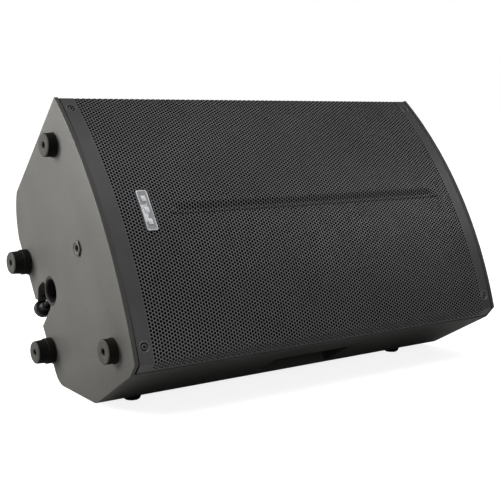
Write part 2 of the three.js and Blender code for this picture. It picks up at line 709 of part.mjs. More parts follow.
function addFeet() {
  for (const [name, kind, w, n] of footPlaces()) {
    place(name, endFoot(kind, n), LOOKS.rubber(), FOOT_TIP_X, w, n);
    place(name.replace('foot', 'foot_screw'), footScrew(n), LOOKS.bright(), FOOT_TIP_X, w, n);
  }
  // The pads stand square to the slanted side, which is square to the floor.
  let count = 0;
  for (const x of PADS.x) {
    for (const n of PADS.n) {
      count += 1;
      const pad = place(`monitor_pad_${count}`, monitorPad(), LOOKS.rubber(), x,
        slantedSide(n) - PADS.height * Math.sin(ROLL), n - PADS.height * Math.cos(ROLL));
      pad.rotation.x = -ROLL;
    }
  }
}

function addRigging() {
  for (const [name, end, w] of insertPlaces()) {
    const seat = end * (endFace(INSERT.n + INSERT.flangeRadius) + GAP);
    const insert = place(name, riggingInsert(), LOOKS.steel(), seat, w, INSERT.n);
    if (end > 0) insert.rotation.z = Math.PI;
  }
}

function addPoleSocket() {
  place('pole_socket_cup', poleCup(), LOOKS.housing(), -endFace(POLE.n) + 0.5, POLE.w, POLE.n);
  place('pole_lock_stud', lockStud(), LOOKS.bright(), LOCK.x, POLE.w, POLE.n);
  place('pole_lock_knob', lockKnob(), LOOKS.plastic(), LOCK.x, POLE.w);
}

function addWoofer() {
  place('woofer_basket', wooferBasket(), LOOKS.steel(), WOOFER.x);
  place('woofer_surround', wooferSurround(), LOOKS.rubber(), WOOFER.x);
  place('woofer_cone', wooferCone(), LOOKS.paper(), WOOFER.x);
  place('woofer_dust_cap', dustCap(), LOOKS.paper(), WOOFER.x);
  place('woofer_voice_coil', voiceCoil(), LOOKS.bright(), WOOFER.x);
  place('woofer_spider', spider(), LOOKS.wadding(), WOOFER.x);
  place('woofer_magnet', magnetAssembly(), LOOKS.magnet(), WOOFER.x);
}

function addHorn() {
  place('horn_flare', hornFlare(), LOOKS.plastic(), HORN.x);
  place('compression_driver', compressionDriver(), LOOKS.magnet(), HORN.x);
  place('port_tube_upper', portTube(), LOOKS.plastic(), PORT.x, PORT.w);
  place('port_tube_lower', portTube(), LOOKS.plastic(), PORT.x, -PORT.w);
}

function addElectronics() {
  place('amp_panel', ampPanel(), LOOKS.steel());
  place('heat_sink', heatSink(), LOOKS.plastic());
  for (const [name, x, w] of SOCKETS) place(name, signalSocket(), LOOKS.plastic(), x, w);
  for (const [name, x, w] of KNOBS) place(name, levelKnob(), LOOKS.plastic(), x, w);
  for (const [name, x, w] of BUTTONS) place(name, pushButton(), LOOKS.bright(), x, w);
  place('status_lens', statusLens(), LOOKS.lens(), LENS.x, LENS.w);
  place('mains_inlet', mainsInlet(), LOOKS.plastic(), INLET.x, INLET.w);
  place('power_rocker_frame', rockerFrame(), LOOKS.plastic(), ROCKER.x, ROCKER.w);
  const pivot = CONTROL_FACE + ROCKER.pivot;
  const paddle = place('power_rocker', rocker(), LOOKS.rubber(), ROCKER.x, ROCKER.w, pivot);
  paddle.rotation.x = -ROCKER.throw / 2;
  place('amp_board', ampBoard(), LOOKS.board());
  place('mains_transformer', toroid(), LOOKS.magnet(), -84, 0, PANEL.face + 12);
  place('reservoir_capacitor', capacitor(), LOOKS.plastic(), 10, -4, PANEL.face + 12);
}

addHousing();
addGrille();
addFeet();
addRigging();
addPoleSocket();
addWoofer();
addHorn();
addElectronics();

// Roll onto the slanted side and stand the pads on the floor, centred over the origin.
cabinet.rotation.x = ROLL;
cabinet.updateMatrixWorld(true);
const extent = new THREE.Box3().setFromObject(cabinet, true);
cabinet.position.set(-(extent.min.x + extent.max.x) / 2, -(extent.min.y + extent.max.y) / 2, -extent.min.z);

export default cabinet;
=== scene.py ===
"""Looks for a moulded loudspeaker cabinet that lies on its side as a floor wedge.

Shapes are drawn in the cabinet's own axes, in millimetres, and carried to the frame by TO_FRAME:
    x  along the cabinet, from the bottom end to the top end
    w  across the front
    n  out of the front, zero where the curved grille starts to rise
"""

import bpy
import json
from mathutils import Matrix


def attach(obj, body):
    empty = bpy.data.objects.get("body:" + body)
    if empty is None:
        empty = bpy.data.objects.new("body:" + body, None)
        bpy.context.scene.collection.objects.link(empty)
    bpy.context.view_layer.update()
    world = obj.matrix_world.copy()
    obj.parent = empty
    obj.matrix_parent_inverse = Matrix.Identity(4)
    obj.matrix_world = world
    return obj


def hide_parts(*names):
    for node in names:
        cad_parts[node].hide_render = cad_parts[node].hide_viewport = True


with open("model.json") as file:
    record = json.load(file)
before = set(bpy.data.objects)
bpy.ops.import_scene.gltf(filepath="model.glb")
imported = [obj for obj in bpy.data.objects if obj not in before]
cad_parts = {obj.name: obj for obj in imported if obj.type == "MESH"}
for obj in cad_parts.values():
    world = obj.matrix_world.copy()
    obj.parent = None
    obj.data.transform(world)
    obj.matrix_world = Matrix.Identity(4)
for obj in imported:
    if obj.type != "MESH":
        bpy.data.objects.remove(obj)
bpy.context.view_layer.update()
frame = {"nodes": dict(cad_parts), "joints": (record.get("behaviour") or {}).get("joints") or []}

import json
import math

import bmesh
import bpy
import numpy as np
from mathutils import Matrix, Vector

# ---------------- cabinet axes, from the frame

JOINTS = {joint["name"]: joint for joint in frame["joints"]}
LONG = Vector((1, 0, 0))
OUT = Vector(JOINTS["cone_travel"]["axis"]).normalized()
ACROSS = OUT.cross(LONG)
LOCK_PLACE = Vector((-327, -4, -270))  # the lock knob's joint, in cabinet axes
LOCK_JOINT = Vector(JOINTS["lock_knob_turn"]["pos_m"])
TURN = Matrix((LONG, ACROSS, OUT)).transposed()
MM = 0.001
TO_FRAME = Matrix.Translation(LOCK_JOINT - TURN @ (LOCK_PLACE * MM)) @ TURN.to_4x4() @ Matrix.Scale(MM, 4)

# ---------------- sizes, mm

HALF_LENGTH, END_LEAN = 353, 0.062
END_WALL, WALL = 5.8, 5
HALF_WIDTH, CROWN_W, SIDE_TAPER = 208.5, 5.5, 0.135
RIM_CORNER, RIM_RISE = 3, 33.2
REAR, HUMP_REAR, HUMP_FLOOR = -268, -349, -334
SEAM = -17
SKIRT_W, SKIRT_N = -210.5, -20  # the lower side is widest here
KNEE_W, KNEE_N = -203.5, -152
ROLL = math.acos(OUT.z)

GRILLE_RISE, GRILLE_FOLD, GRILLE_LIFT = 30, 208, 2.6
GRILLE_RADIUS = (GRILLE_FOLD ** 2 + GRILLE_RISE ** 2) / (2 * GRILLE_RISE)
GRILLE_SHEET, GRILLE_HALF_LENGTH = 1.0, 345.1
FOLD_RADIUS = 4
GRILLE_PANELS = 5
HOLE_PITCH, HOLE_RADIUS = 5.27, 2.25
HOLES_X, HOLES_MIDDLE = (-323, 325), -1.0  # the holes start and end here
HOLES_SHORT_OF_EDGE, HOLES_PAST_FOLD = 3.2, 1  # at the lower and the upper side
STRIP_EDGE = 2.6  # the plain end strips start this far beyond
SCREW_X, SCREW_SIDE = 334, 186.5  # the latter from the crown line
BADGE_X, BADGE_W = -281, 8

POLE_W, POLE_N, POLE_BORE, POLE_WALL, POLE_DEPTH = -4, -200, 18, 4.5, 92
FEET = {
    "short_upper": (163, -45.5),
    "tall_upper": (74, -258),
    "short_lower": (-162, -47),
    "tall_lower": (-79, -258),
}
INSERTS = (("bottom", -1, 2.6), ("top_upper", 1, 120), ("top_lower", 1, -120))
INSERT_N = -64
PAD_X, PAD_N, PAD_HEIGHT, PAD_RADIUS = (-274, 255), (-168, -238), 8, 14
FOOT_TIP_X, FOOT_RADIUS, FOOT_BASE = -366, 17.5, 20
GAP = 0.3
FAR = 420  # beyond the cabinet in every direction
HOLE_SIDES = 12
SCREW_HOLE = 6.4  # radius of the grille's screw holes


def upper_side(n):
    return CROWN_W + HALF_WIDTH - (RIM_CORNER - n) * SIDE_TAPER


def lower_side(n):
    corner = CROWN_W - HALF_WIDTH
    if n > SKIRT_N:
        return corner + (SKIRT_W - corner) * (RIM_CORNER - n) / (RIM_CORNER - SKIRT_N)
    return SKIRT_W + (KNEE_W - SKIRT_W) * (SKIRT_N - n) / (SKIRT_N - KNEE_N)


def slanted_side(n):
    return KNEE_W + (KNEE_N - n) / math.tan(ROLL)


def end_face(n):
    return HALF_LENGTH + END_LEAN * n


def grille_arc(w):
    return GRILLE_LIFT + GRILLE_RISE - GRILLE_RADIUS + math.sqrt(GRILLE_RADIUS ** 2 - (w - CROWN_W) ** 2)


# ---------------- mesh helpers

def placed(name, data):
    """A new object in the scene that holds the given mesh, light or camera."""
    obj = bpy.data.objects.new(name, data)
    bpy.context.scene.collection.objects.link(obj)
    return obj


def scratch(name, bm):
    """A working object that holds the mesh, still in cabinet axes."""
    mesh = bpy.data.meshes.new(name)
    bm.to_mesh(mesh)
    bm.free()
    return placed(name, mesh)


def finish_piece(obj, material, body="cabinet", replaces=(), sharp=32):
    """Moves a working object to the frame, shades it and gives it to its body."""
    obj.data.transform(TO_FRAME)
    obj.data.materials.clear()
    obj.data.materials.append(material)
    obj.data.shade_smooth()
    obj.data.set_sharp_from_angle(angle=math.radians(sharp))
    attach(obj, body)
    if replaces:
        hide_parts(*replaces)
    return obj


def paint_bore_shade(obj, place, radius):
    """Paints the walls of a bore along the placing's own z with near-black painted shade, for the shade
    inside the hole.
    """
    obj.data.materials.append(M["painted_shade"])
    back = (TO_FRAME @ place).inverted()
    for polygon in obj.data.polygons:
        centre = back @ polygon.center
        if math.hypot(centre.x, centre.y) < radius:
            polygon.material_index = 1


def bore_along_x(w, n):
    return Matrix.Translation((0, w, n)) @ Matrix.Rotation(math.pi / 2, 4, "Y")


def applied(obj):
    """Bakes the object's modifiers into its mesh."""
    graph = bpy.context.evaluated_depsgraph_get()
    mesh = bpy.data.meshes.new_from_object(obj.evaluated_get(graph), depsgraph=graph)
    obj.modifiers.clear()
    obj.data = mesh
    return obj


def combine(body, tool, operation="DIFFERENCE"):
    """Boolean of two working objects; the tool is used up."""
    step = body.modifiers.new("step", "BOOLEAN")
    step.operation = operation
    step.solver = "MANIFOLD"
    step.object = tool
    applied(body)
    bpy.data.objects.remove(tool)
    return body


def bevel(obj, width, segments, angle=30):
    step = obj.modifiers.new("round", "BEVEL")
    step.width, step.segments = width, segments
    step.angle_limit = math.radians(angle)
    return applied(obj)


def soften(obj, width, angle=32):
    """Rounds the sharp edges that cuts have left."""
    bm = bmesh.new()
    bm.from_mesh(obj.data)
    bmesh.ops.remove_doubles(bm, verts=bm.verts, dist=0.02)
    bmesh.ops.dissolve_limit(bm, angle_limit=math.radians(0.6), verts=bm.verts, edges=bm.edges)
    bm.to_mesh(obj.data)
    bm.free()
    return bevel(obj, width, 2, angle)


def rounded_outline(points, radii, steps=6):
    """A closed 2-D outline whose corners are arcs; a radius of 0 keeps the corner."""
    outline = []
    count = len(points)
    for i, (point, radius) in enumerate(zip(points, radii)):
        here = Vector(point)
        before = Vector(points[i - 1]) - here
        after = Vector(points[(i + 1) % count]) - here
        if radius <= 0:
            outline.append(here)
            continue
        half = before.angle(after) / 2
        reach = min(radius / math.tan(half), before.length * 0.49, after.length * 0.49)
        radius = reach * math.tan(half)
        start = here + before.normalized() * reach
        centre = here + (before.normalized() + after.normalized()).normalized() * (radius / math.sin(half))
        sweep = math.pi - 2 * half
        spoke = start - centre
        turn = 1 if spoke.x * (here - centre).y - spoke.y * (here - centre).x > 0 else -1
        for k in range(steps + 1):
            angle = turn * sweep * k / steps
            c, s = math.cos(angle), math.sin(angle)
            outline.append(centre + Vector((c * spoke.x - s * spoke.y, s * spoke.x + c * spoke.y)))
    return outline


def loft(name, rings):
    """A closed solid through rings of equal length, with flat caps."""
    bm = bmesh.new()
    loops = [[bm.verts.new(point) for point in ring] for ring in rings]
    for near, far in zip(loops, loops[1:]):
        for i in range(len(near)):
            bm.faces.new((near[i - 1], near[i], far[i], far[i - 1]))
    bm.faces.new(list(reversed(loops[0])))
    bm.faces.new(loops[-1])
    bmesh.ops.recalc_face_normals(bm, faces=bm.faces)
    return scratch(name, bm)


def along_x(name, outline, x0, x1):
    return loft(name, [[(x, p[0], p[1]) for p in outline] for x in (x0, x1)])


AXES = {
    "x": lambda r, d, c, s: (d, r * c, r * s),
    "n": lambda r, d, c, s: (r * c, r * s, d),
}


def lathe(name, profile, axis, centre=(0, 0, 0), segments=64, radii=None):
    """A profile of (radius, distance) turned about x or n. It starts and ends on the axis, or closes."""
    open_profile = profile[0][0] == 0 and profile[-1][0] == 0
    if radii is not None:
        corners = [0] + radii + [0] if open_profile else radii
        profile = [(p.x, p.y) for p in rounded_outline(profile, corners, steps=3)]
    bm = bmesh.new()
    rings = []
    for radius, distance in profile:
        count = 1 if radius < 1e-6 else segments
        ring = []
        for k in range(count):
            angle = 2 * math.pi * k / segments
            ring.append(bm.verts.new(AXES[axis](radius, distance, math.cos(angle), math.sin(angle))))
        rings.append(ring)
    pairs = list(zip(rings, rings[1:]))
    if not open_profile:
        pairs.append((rings[-1], rings[0]))
    for near, far in pairs:
        for k in range(segments):
            corners = []
            for ring, index in ((near, k), (near, k + 1), (far, k + 1), (far, k)):
                vert = ring[index % len(ring)]
                if vert not in corners:
                    corners.append(vert)
            if len(corners) > 2:
                bm.faces.new(corners)
    bmesh.ops.recalc_face_normals(bm, faces=bm.faces)
    bmesh.ops.translate(bm, verts=bm.verts, vec=centre)
    return scratch(name, bm)


def rod(radius, low, high, axis, centre=(0, 0, 0), segments=32):
    """A plain cylinder along x or n, to cut with or to add."""
    return lathe("rod", [(0, low), (radius, low), (radius, high), (0, high)], axis, centre, segments)


def box(name, low, high, radius=0.0, steps=3):
    """A block, with all its edges rounded if a radius is given."""
    bm = bmesh.new()
    bmesh.ops.create_cube(bm, size=1)
    size = Vector(high) - Vector(low)
    bmesh.ops.scale(bm, verts=bm.verts, vec=size)
    bmesh.ops.translate(bm, verts=bm.verts, vec=(Vector(high) + Vector(low)) / 2)
    if radius:
        bmesh.ops.bevel(bm, geom=bm.edges[:], offset=radius, segments=steps, profile=0.5, affect="EDGES",
                        clamp_overlap=True)
    return scratch(name, bm)


# ---------------- materials

MIX_FACTOR, MIX_A, MIX_B, MIX_RESULT = 0, 6, 7, 2  # a mix node's sockets for colours


def grey(value):
    return (value, value, value)


def sheet_of_nodes(name):
    material = bpy.data.materials.new(name)
    material.use_nodes = True
    return material, material.node_tree, material.node_tree.nodes["Principled BSDF"]


def add_node(tree, kind, **values):
    """A new node with its input values set; an underscore in an input's name stands for a space."""
    node = tree.nodes.new(kind)
    for name, value in values.items():
        node.inputs[name.replace("_", " ")].default_value = value
    return node


def noise(tree, scale, detail=3.0, rough=0.55, stretch=(1, 1, 1)):
    """Noise over the object's own coordinates, in cycles per metre."""
    place = tree.nodes.new("ShaderNodeTexCoord")
    mapping = add_node(tree, "ShaderNodeMapping", Scale=stretch)
    texture = add_node(tree, "ShaderNodeTexNoise", Scale=scale, Detail=detail, Roughness=rough)
    tree.links.new(place.outputs["Object"], mapping.inputs["Vector"])
    tree.links.new(mapping.outputs["Vector"], texture.inputs["Vector"])
    return texture.outputs["Fac"]


def ramp(tree, source, stops):
    node = tree.nodes.new("ShaderNodeValToRGB")
    elements = node.color_ramp.elements
    for i, (position, colour) in enumerate(stops):
        element = elements[i] if i < 2 else elements.new(position)
        element.position = position
        element.color = (*colour, 1)
    tree.links.new(source, node.inputs["Fac"])
    return node.outputs["Color"]


def spread(tree, source, low, high, from_low=0.3, from_high=0.7):
    node = add_node(tree, "ShaderNodeMapRange",
                    From_Min=from_low, From_Max=from_high, To_Min=low, To_Max=high)
    tree.links.new(source, node.inputs["Value"])
    return node.outputs["Result"]


def add_bump(tree, height, strength, distance, previous=None):
    node = add_node(tree, "ShaderNodeBump", Strength=strength, Distance=distance)
    tree.links.new(height, node.inputs["Height"])
    if previous is not None:
        tree.links.new(previous, node.inputs["Normal"])
    return node.outputs["Normal"]


def edge_mask(tree, radius):
    """1 on an edge and 0 on a flat: how far a rounded normal leans from the true one."""
    true = tree.nodes.new("ShaderNodeNewGeometry")
    rounded = add_node(tree, "ShaderNodeBevel", Radius=radius)
    rounded.samples = 4
    dot = tree.nodes.new("ShaderNodeVectorMath")
    dot.operation = "DOT_PRODUCT"
    tree.links.new(true.outputs["Normal"], dot.inputs[0])
    tree.links.new(rounded.outputs["Normal"], dot.inputs[1])
    return spread(tree, dot.outputs["Value"], 1, 0, 0.86, 0.995)


def mixed(tree, factor, first, second):
    """The first colour, from a socket, covered with the second, a fixed one, by the factor."""
    node = tree.nodes.new("ShaderNodeMix")
    node.data_type = "RGBA"
    tree.links.new(first, node.inputs[MIX_A])
    node.inputs[MIX_B].default_value = (*second, 1)
    tree.links.new(factor, node.inputs[MIX_FACTOR])
    return node.outputs[MIX_RESULT]


def scaled(tree, source, factor):
    node = tree.nodes.new("ShaderNodeMath")
    node.operation = "MULTIPLY"
    node.inputs[1].default_value = factor
    tree.links.new(source, node.inputs[0])
    return node.outputs[0]


def moulded_plastic(name, dark, light, roughness=(0.5, 0.64), grain=900, grain_depth=0.00012,
                    wear=None, gloss=0.35):
    """Pebbled moulded plastic: cloudy colour, fine grain, and paler worn edges."""
    material, tree, shader = sheet_of_nodes(name)
    shader.inputs["Specular IOR Level"].default_value = gloss
    cloud = noise(tree, 9, 4, 0.6)
    fine = noise(tree, grain, 2, 0.6)
    colour = ramp(tree, cloud, [(0.32, dark), (0.68, light)])
    if wear:
        patch = noise(tree, 60, 3)
        broken = tree.nodes.new("ShaderNodeMath")
        broken.operation = "MULTIPLY"
        tree.links.new(edge_mask(tree, 0.0014), broken.inputs[0])
        tree.links.new(spread(tree, patch, 0.0, 0.3, 0.35, 0.7), broken.inputs[1])
        colour = mixed(tree, broken.outputs[0], colour, wear)
    tree.links.new(colour, shader.inputs["Base Color"])
    tree.links.new(spread(tree, fine, *roughness), shader.inputs["Roughness"])
    normal = add_bump(tree, fine, 0.5, grain_depth)
    normal = add_bump(tree, noise(tree, 60, 2), 0.25, 0.0004, normal)
    tree.links.new(normal, shader.inputs["Normal"])
    return material


def coated_metal(name, dark, light, roughness, metallic=0.0, peel=500, peel_depth=0.00005, wear=None):
    """Powder coat: a slight orange peel, small changes of gloss, optional bare edges."""
    material, tree, shader = sheet_of_nodes(name)
    shader.inputs["Metallic"].default_value = metallic
    cloud = noise(tree, 14, 4)
    colour = ramp(tree, cloud, [(0.3, dark), (0.7, light)])
    if wear:
        colour = mixed(tree, scaled(tree, edge_mask(tree, 0.0008), 0.6), colour, wear)
    tree.links.new(colour, shader.inputs["Base Color"])
    tree.links.new(spread(tree, noise(tree, 40, 3), *roughness), shader.inputs["Roughness"])
    tree.links.new(add_bump(tree, noise(tree, peel, 2), 0.4, peel_depth), shader.inputs["Normal"])
    return material


def brushed_metal(name, dark, light, roughness, stretch=(1, 30, 30)):
    """Metal with fine parallel brushing, along x unless the stretch says otherwise."""
    material, tree, shader = sheet_of_nodes(name)
    shader.inputs["Metallic"].default_value = 1.0
    hairs = noise(tree, 120, 4, 0.7, stretch)
    tree.links.new(ramp(tree, hairs, [(0.3, dark), (0.7, light)]), shader.inputs["Base Color"])
    tree.links.new(spread(tree, hairs, *roughness), shader.inputs["Roughness"])
    tree.links.new(add_bump(tree, hairs, 0.2, 0.00005), shader.inputs["Normal"])
    return material


def rubber(name, dark, light):
    """Soft rubber with a film of dust."""
    material, tree, shader = sheet_of_nodes(name)
    shader.inputs["Specular IOR Level"].default_value = 0.05
    dust = noise(tree, 35, 4, 0.65)
    tree.links.new(ramp(tree, dust, [(0.35, dark), (0.75, light)]), shader.inputs["Base Color"])
    tree.links.new(spread(tree, noise(tree, 200, 3), 0.6, 0.8), shader.inputs["Roughness"])
    tree.links.new(add_bump(tree, noise(tree, 1200, 2), 0.35, 0.00008), shader.inputs["Normal"])
    return material


def fibrous(name, dark, light, scale, depth):
    """Foam, paper pulp and cloth: rough, with a fibre or cell pattern."""
    material, tree, shader = sheet_of_nodes(name)
    cells = noise(tree, scale, 4, 0.7)
    tree.links.new(ramp(tree, cells, [(0.35, dark), (0.65, light)]), shader.inputs["Base Color"])
    tree.links.new(spread(tree, cells, 0.85, 1.0), shader.inputs["Roughness"])
    tree.links.new(add_bump(tree, cells, 0.7, depth), shader.inputs["Normal"])
    shader.inputs["Specular IOR Level"].default_value = 0.05
    return material


def green_lens():
    """A smooth dark green lens, not lit."""
    material, tree, shader = sheet_of_nodes("status_lens_green")
    swirl = noise(tree, 400, 2)
    tree.links.new(ramp(tree, swirl, [(0.3, (0.01, 0.16, 0.03)), (0.7, (0.03, 0.3, 0.07))]),
              shader.inputs["Base Color"])
    tree.links.new(spread(tree, swirl, 0.1, 0.18), shader.inputs["Roughness"])
    return material


M = {
    "housing": moulded_plastic("housing_plastic", (0.026, 0.0255, 0.023), (0.038, 0.037, 0.0335),
        wear=(0.085, 0.082, 0.075)),
    "cup": moulded_plastic("cup_plastic", (0.018, 0.018, 0.016), (0.026, 0.026, 0.024)),
    "pole_cup": moulded_plastic("pole_cup_plastic", grey(0.006), (0.012, 0.012, 0.011), (0.5, 0.6),
        gloss=0.15),
    "black_plastic": moulded_plastic("black_plastic", grey(0.010), grey(0.017), (0.38, 0.5),
        grain=1400, grain_depth=0.00006),
    "knob_plastic": moulded_plastic("knob_plastic", grey(0.006), grey(0.011), (0.45, 0.58),
        grain=1800, grain_depth=0.00004, gloss=0.2),
    "button_plastic": moulded_plastic("button_plastic", (0.22, 0.22, 0.23), (0.3, 0.3, 0.31), (0.4, 0.5),
        grain=1800, grain_depth=0.00004),
    "insert": moulded_plastic("insert_coat", (0.024, 0.0235, 0.021), (0.034, 0.033, 0.03),
        grain=1400, gloss=0.3),
    "grille": coated_metal("grille_coat", (0.09, 0.09, 0.092), (0.108, 0.108, 0.111), (0.36, 0.46)),
    "grille_strip": coated_metal("grille_strip_coat", (0.026, 0.026, 0.027), (0.034, 0.034, 0.035),
        (0.38, 0.48)),
    # painted shade: a near-black finish put on bore walls, hole walls, the crease's fold and the seam gap,
    # where shade falls
    "painted_shade": coated_metal("hole_painted_shade_coat", grey(0.003), grey(0.006), (0.7, 0.85)),
    "screw_black": coated_metal("screw_black_coat", grey(0.006), grey(0.01), (0.6, 0.75)),
    "screw_ring": coated_metal("screw_ring_coat", (0.045, 0.045, 0.046), (0.062, 0.062, 0.064),
        (0.45, 0.55)),
    "black_steel": coated_metal("black_steel", (0.012, 0.012, 0.013), (0.02, 0.02, 0.021), (0.35, 0.5), 0.3,
        wear=grey(0.3)),
    "cast": coated_metal("cast_metal", (0.014, 0.014, 0.015), (0.022, 0.022, 0.023), (0.45, 0.6), 0.2,
        260, 0.00018),
    "badge_rim": coated_metal("badge_rim_paint", (0.5, 0.51, 0.53), (0.62, 0.63, 0.65), (0.25, 0.35), 0.3),
    "badge_field": coated_metal("badge_field_paint", (0.2, 0.203, 0.21), (0.26, 0.264, 0.27), (0.3, 0.45),
        0.2),
    "board": coated_metal("board_resist", (0.008, 0.06, 0.025), (0.015, 0.09, 0.035), (0.3, 0.45)),
    "dark_zinc": brushed_metal("dark_zinc", (0.1, 0.1, 0.105), (0.17, 0.17, 0.175), (0.3, 0.45)),
    "copper": brushed_metal("coil_copper", (0.5, 0.22, 0.1), (0.68, 0.33, 0.17), (0.25, 0.4), (60, 1, 1)),
    "screw_steel": brushed_metal("screw_black_oxide", (0.02, 0.02, 0.021), (0.045, 0.045, 0.047),
        (0.3, 0.45)),
    "rubber": rubber("foot_rubber", (0.004, 0.0039, 0.0035), (0.009, 0.0088, 0.008)),
    # painted light: a paler rubber for the foot tips' end faces, where the light falls on them
    "rubber_painted_lit_tip": rubber("foot_tip_painted_light_rubber", (0.03, 0.03, 0.028), (0.052, 0.051, 0.048)),
    "foam": fibrous("grille_foam_black", grey(0.0015), grey(0.006), 700, 0.0006),
    "paper": fibrous("cone_paper", (0.012, 0.012, 0.013), (0.022, 0.022, 0.023), 300, 0.0002),
    "cloth": fibrous("spider_cloth", (0.3, 0.24, 0.14), (0.42, 0.34, 0.2), 900, 0.0002),
    "lens": green_lens(),
}


# ---------------- housing

END_ROUND, END_STEPS = 0.8, 4  # radius round each end face
RIM_STEPS = 28
BACK_TURN = -225  # the upper side starts to curve into the back here
BACK_CONTROL, BACK_START = (164, REAR + 13), (120, REAR)
HUMP_SINK, HUMP_ABOVE = 8, 4  # into the back, and from the slanted side's plane
HUMP_FRONT_SIZE, HUMP_REAR_SIZE = (240, 112), (192, 78)  # half length, and w of the upper side
SCOOP_FRONT = -214
LIP_NEAR, LIP_FAR, LIP_N = 10, 16, (-261.2, -258.8)  # w from the pole, and n
RECESS_HALF, RECESS_FRONT, RECESS_REAR, RECESS_DEPTH = 76, -66, -142, 46
TOP_RECESS_HALF, TOP_RECESS_FRONT, TOP_RECESS_DEPTH = 62, -70, 40
RECESS_ROUND, CUP_WALL, CUP_GAP = 9, 3, 0.1
SEAM_SHADE_BAND, SEAM_SHADE_FACING = 0.7, 0.35  # faces this near the seam that look out of the front get painted shadow, for the shade in the seam gap


def bezier(start, control, end, steps=14):
    """Points of a quadratic curve, without its first one."""
    a, b, c = Vector(start), Vector(control), Vector(end)
    return [a.lerp(b, k / steps).lerp(b.lerp(c, k / steps), k / steps) for k in range(1, steps + 1)]


def housing_points():
    """Corners and corner radii of the housing's cross-section, in (w, n)."""
    turn = (upper_side(BACK_TURN), BACK_TURN)
    corners = [((upper_side(RIM_CORNER), RIM_CORNER), 0.8), (turn, 0)]
    corners += [(p, 0) for p in bezier(turn, BACK_CONTROL, BACK_START)]
    corners += [
        ((slanted_side(REAR), REAR), 34),
        ((KNEE_W, KNEE_N), 26),
        ((SKIRT_W, SKIRT_N), 8),
        ((lower_side(RIM_CORNER), RIM_CORNER), 0.8),
    ]
    rise = RIM_RISE - RIM_CORNER
    radius = (HALF_WIDTH ** 2 + rise ** 2) / (2 * rise)
    spread_angle = math.asin(HALF_WIDTH / radius)
    for k in range(1, RIM_STEPS):
        angle = math.pi / 2 + spread_angle * (1 - 2 * k / RIM_STEPS)
        centre_n = RIM_RISE - radius
        corners.append(((CROWN_W + radius * math.cos(angle), centre_n + radius * math.sin(angle)), 0))
    return [c[0] for c in corners], [c[1] for c in corners]


def moved_in(outline, distance):
    """The convex outline with every point moved in along its normal."""
    count = len(outline)
    middle = sum((Vector(p) for p in outline), Vector((0, 0))) / count
    result = []
    for i, point in enumerate(outline):
        edge = (Vector(outline[(i + 1) % count]) - Vector(outline[i - 1])).normalized()
        normal = Vector((edge.y, -edge.x))
        if normal.dot(middle - Vector(point)) < 0:
            normal.negate()
        result.append(Vector(point) + normal * distance)
    return result


def leaning(x, w, n):
    """Shears x so that the ends of a straight extrusion lean like the end faces."""
    return (x * (1 + END_LEAN * n / HALF_LENGTH), w, n)


def housing_block():
    outline = rounded_outline(*housing_points(), steps=7)
    rings = []
    for end in (-1, 1):
        steps = range(END_STEPS + 1)
        for k in steps if end < 0 else reversed(steps):
            angle = math.pi / 2 * k / END_STEPS
            inset = END_ROUND * (1 - math.sin(angle))
            x = end * (HALF_LENGTH - END_ROUND * (1 - math.cos(angle)))
            rings.append([leaning(x, p.x, p.y) for p in moved_in(outline, inset)])
    return loft("rear_shell_moulding", rings)


def hump(name, inset, rear, radius):
    """The electronics hump on the back, narrower towards its rear on all four sides."""
    front = REAR + HUMP_SINK
    rings = []
    for n, size, plane in (
        (front + inset, HUMP_FRONT_SIZE, slanted_side(front)),
        (rear, HUMP_REAR_SIZE, slanted_side(rear)),
    ):
        half, top = size[0] - inset, size[1] - inset
        bottom = plane + HUMP_ABOVE + inset
        rings.append([(-half, bottom, n), (half, bottom, n), (half, top, n), (-half, top, n)])
    solid = loft(name, rings)
    if radius:
        bevel(solid, radius, 4)
    return solid


def scoop_outline(grow):
    """The pole socket's opening; its upper lip hooks down in front of the knob."""
    front = SCOOP_FRONT + grow
    lip_rear, lip_front = LIP_N[0] + grow, LIP_N[1] + grow
    points = [
        (POLE_W - 20 - grow, front),
        (POLE_W - 34 - grow, REAR - 20),
        (POLE_W + LIP_FAR + grow, REAR - 20),
        (POLE_W + LIP_FAR + grow, lip_rear),
        (POLE_W + LIP_NEAR + grow, lip_rear),
        (POLE_W + LIP_NEAR + grow, lip_front),
        (POLE_W + 27 + grow, -244),
        (POLE_W + 25 + grow, front),
    ]
    return rounded_outline(points, [9, 0, 0, 0, 0, 0, 18, 9], 6)


def handle_block(side, grow, radius):
    """The space of a side hand recess, drawn straight through the side wall."""
    half, front, rear = RECESS_HALF + grow, RECESS_FRONT + grow, RECESS_REAR - grow
    if side > 0:
        low, high = upper_side(RECESS_FRONT) - RECESS_DEPTH - grow, 270
    else:
        low, high = -270, lower_side(RECESS_FRONT) + RECESS_DEPTH + grow
    return box("recess", (-half, low, rear), (half, high, front), radius, 5)


def top_handle_block(grow, radius):
    half = TOP_RECESS_HALF + grow
    deep = end_face(RECESS_REAR) - TOP_RECESS_DEPTH - grow
    return box("recess", (deep, -half, RECESS_REAR - grow), (FAR, half, TOP_RECESS_FRONT + grow), radius, 5)


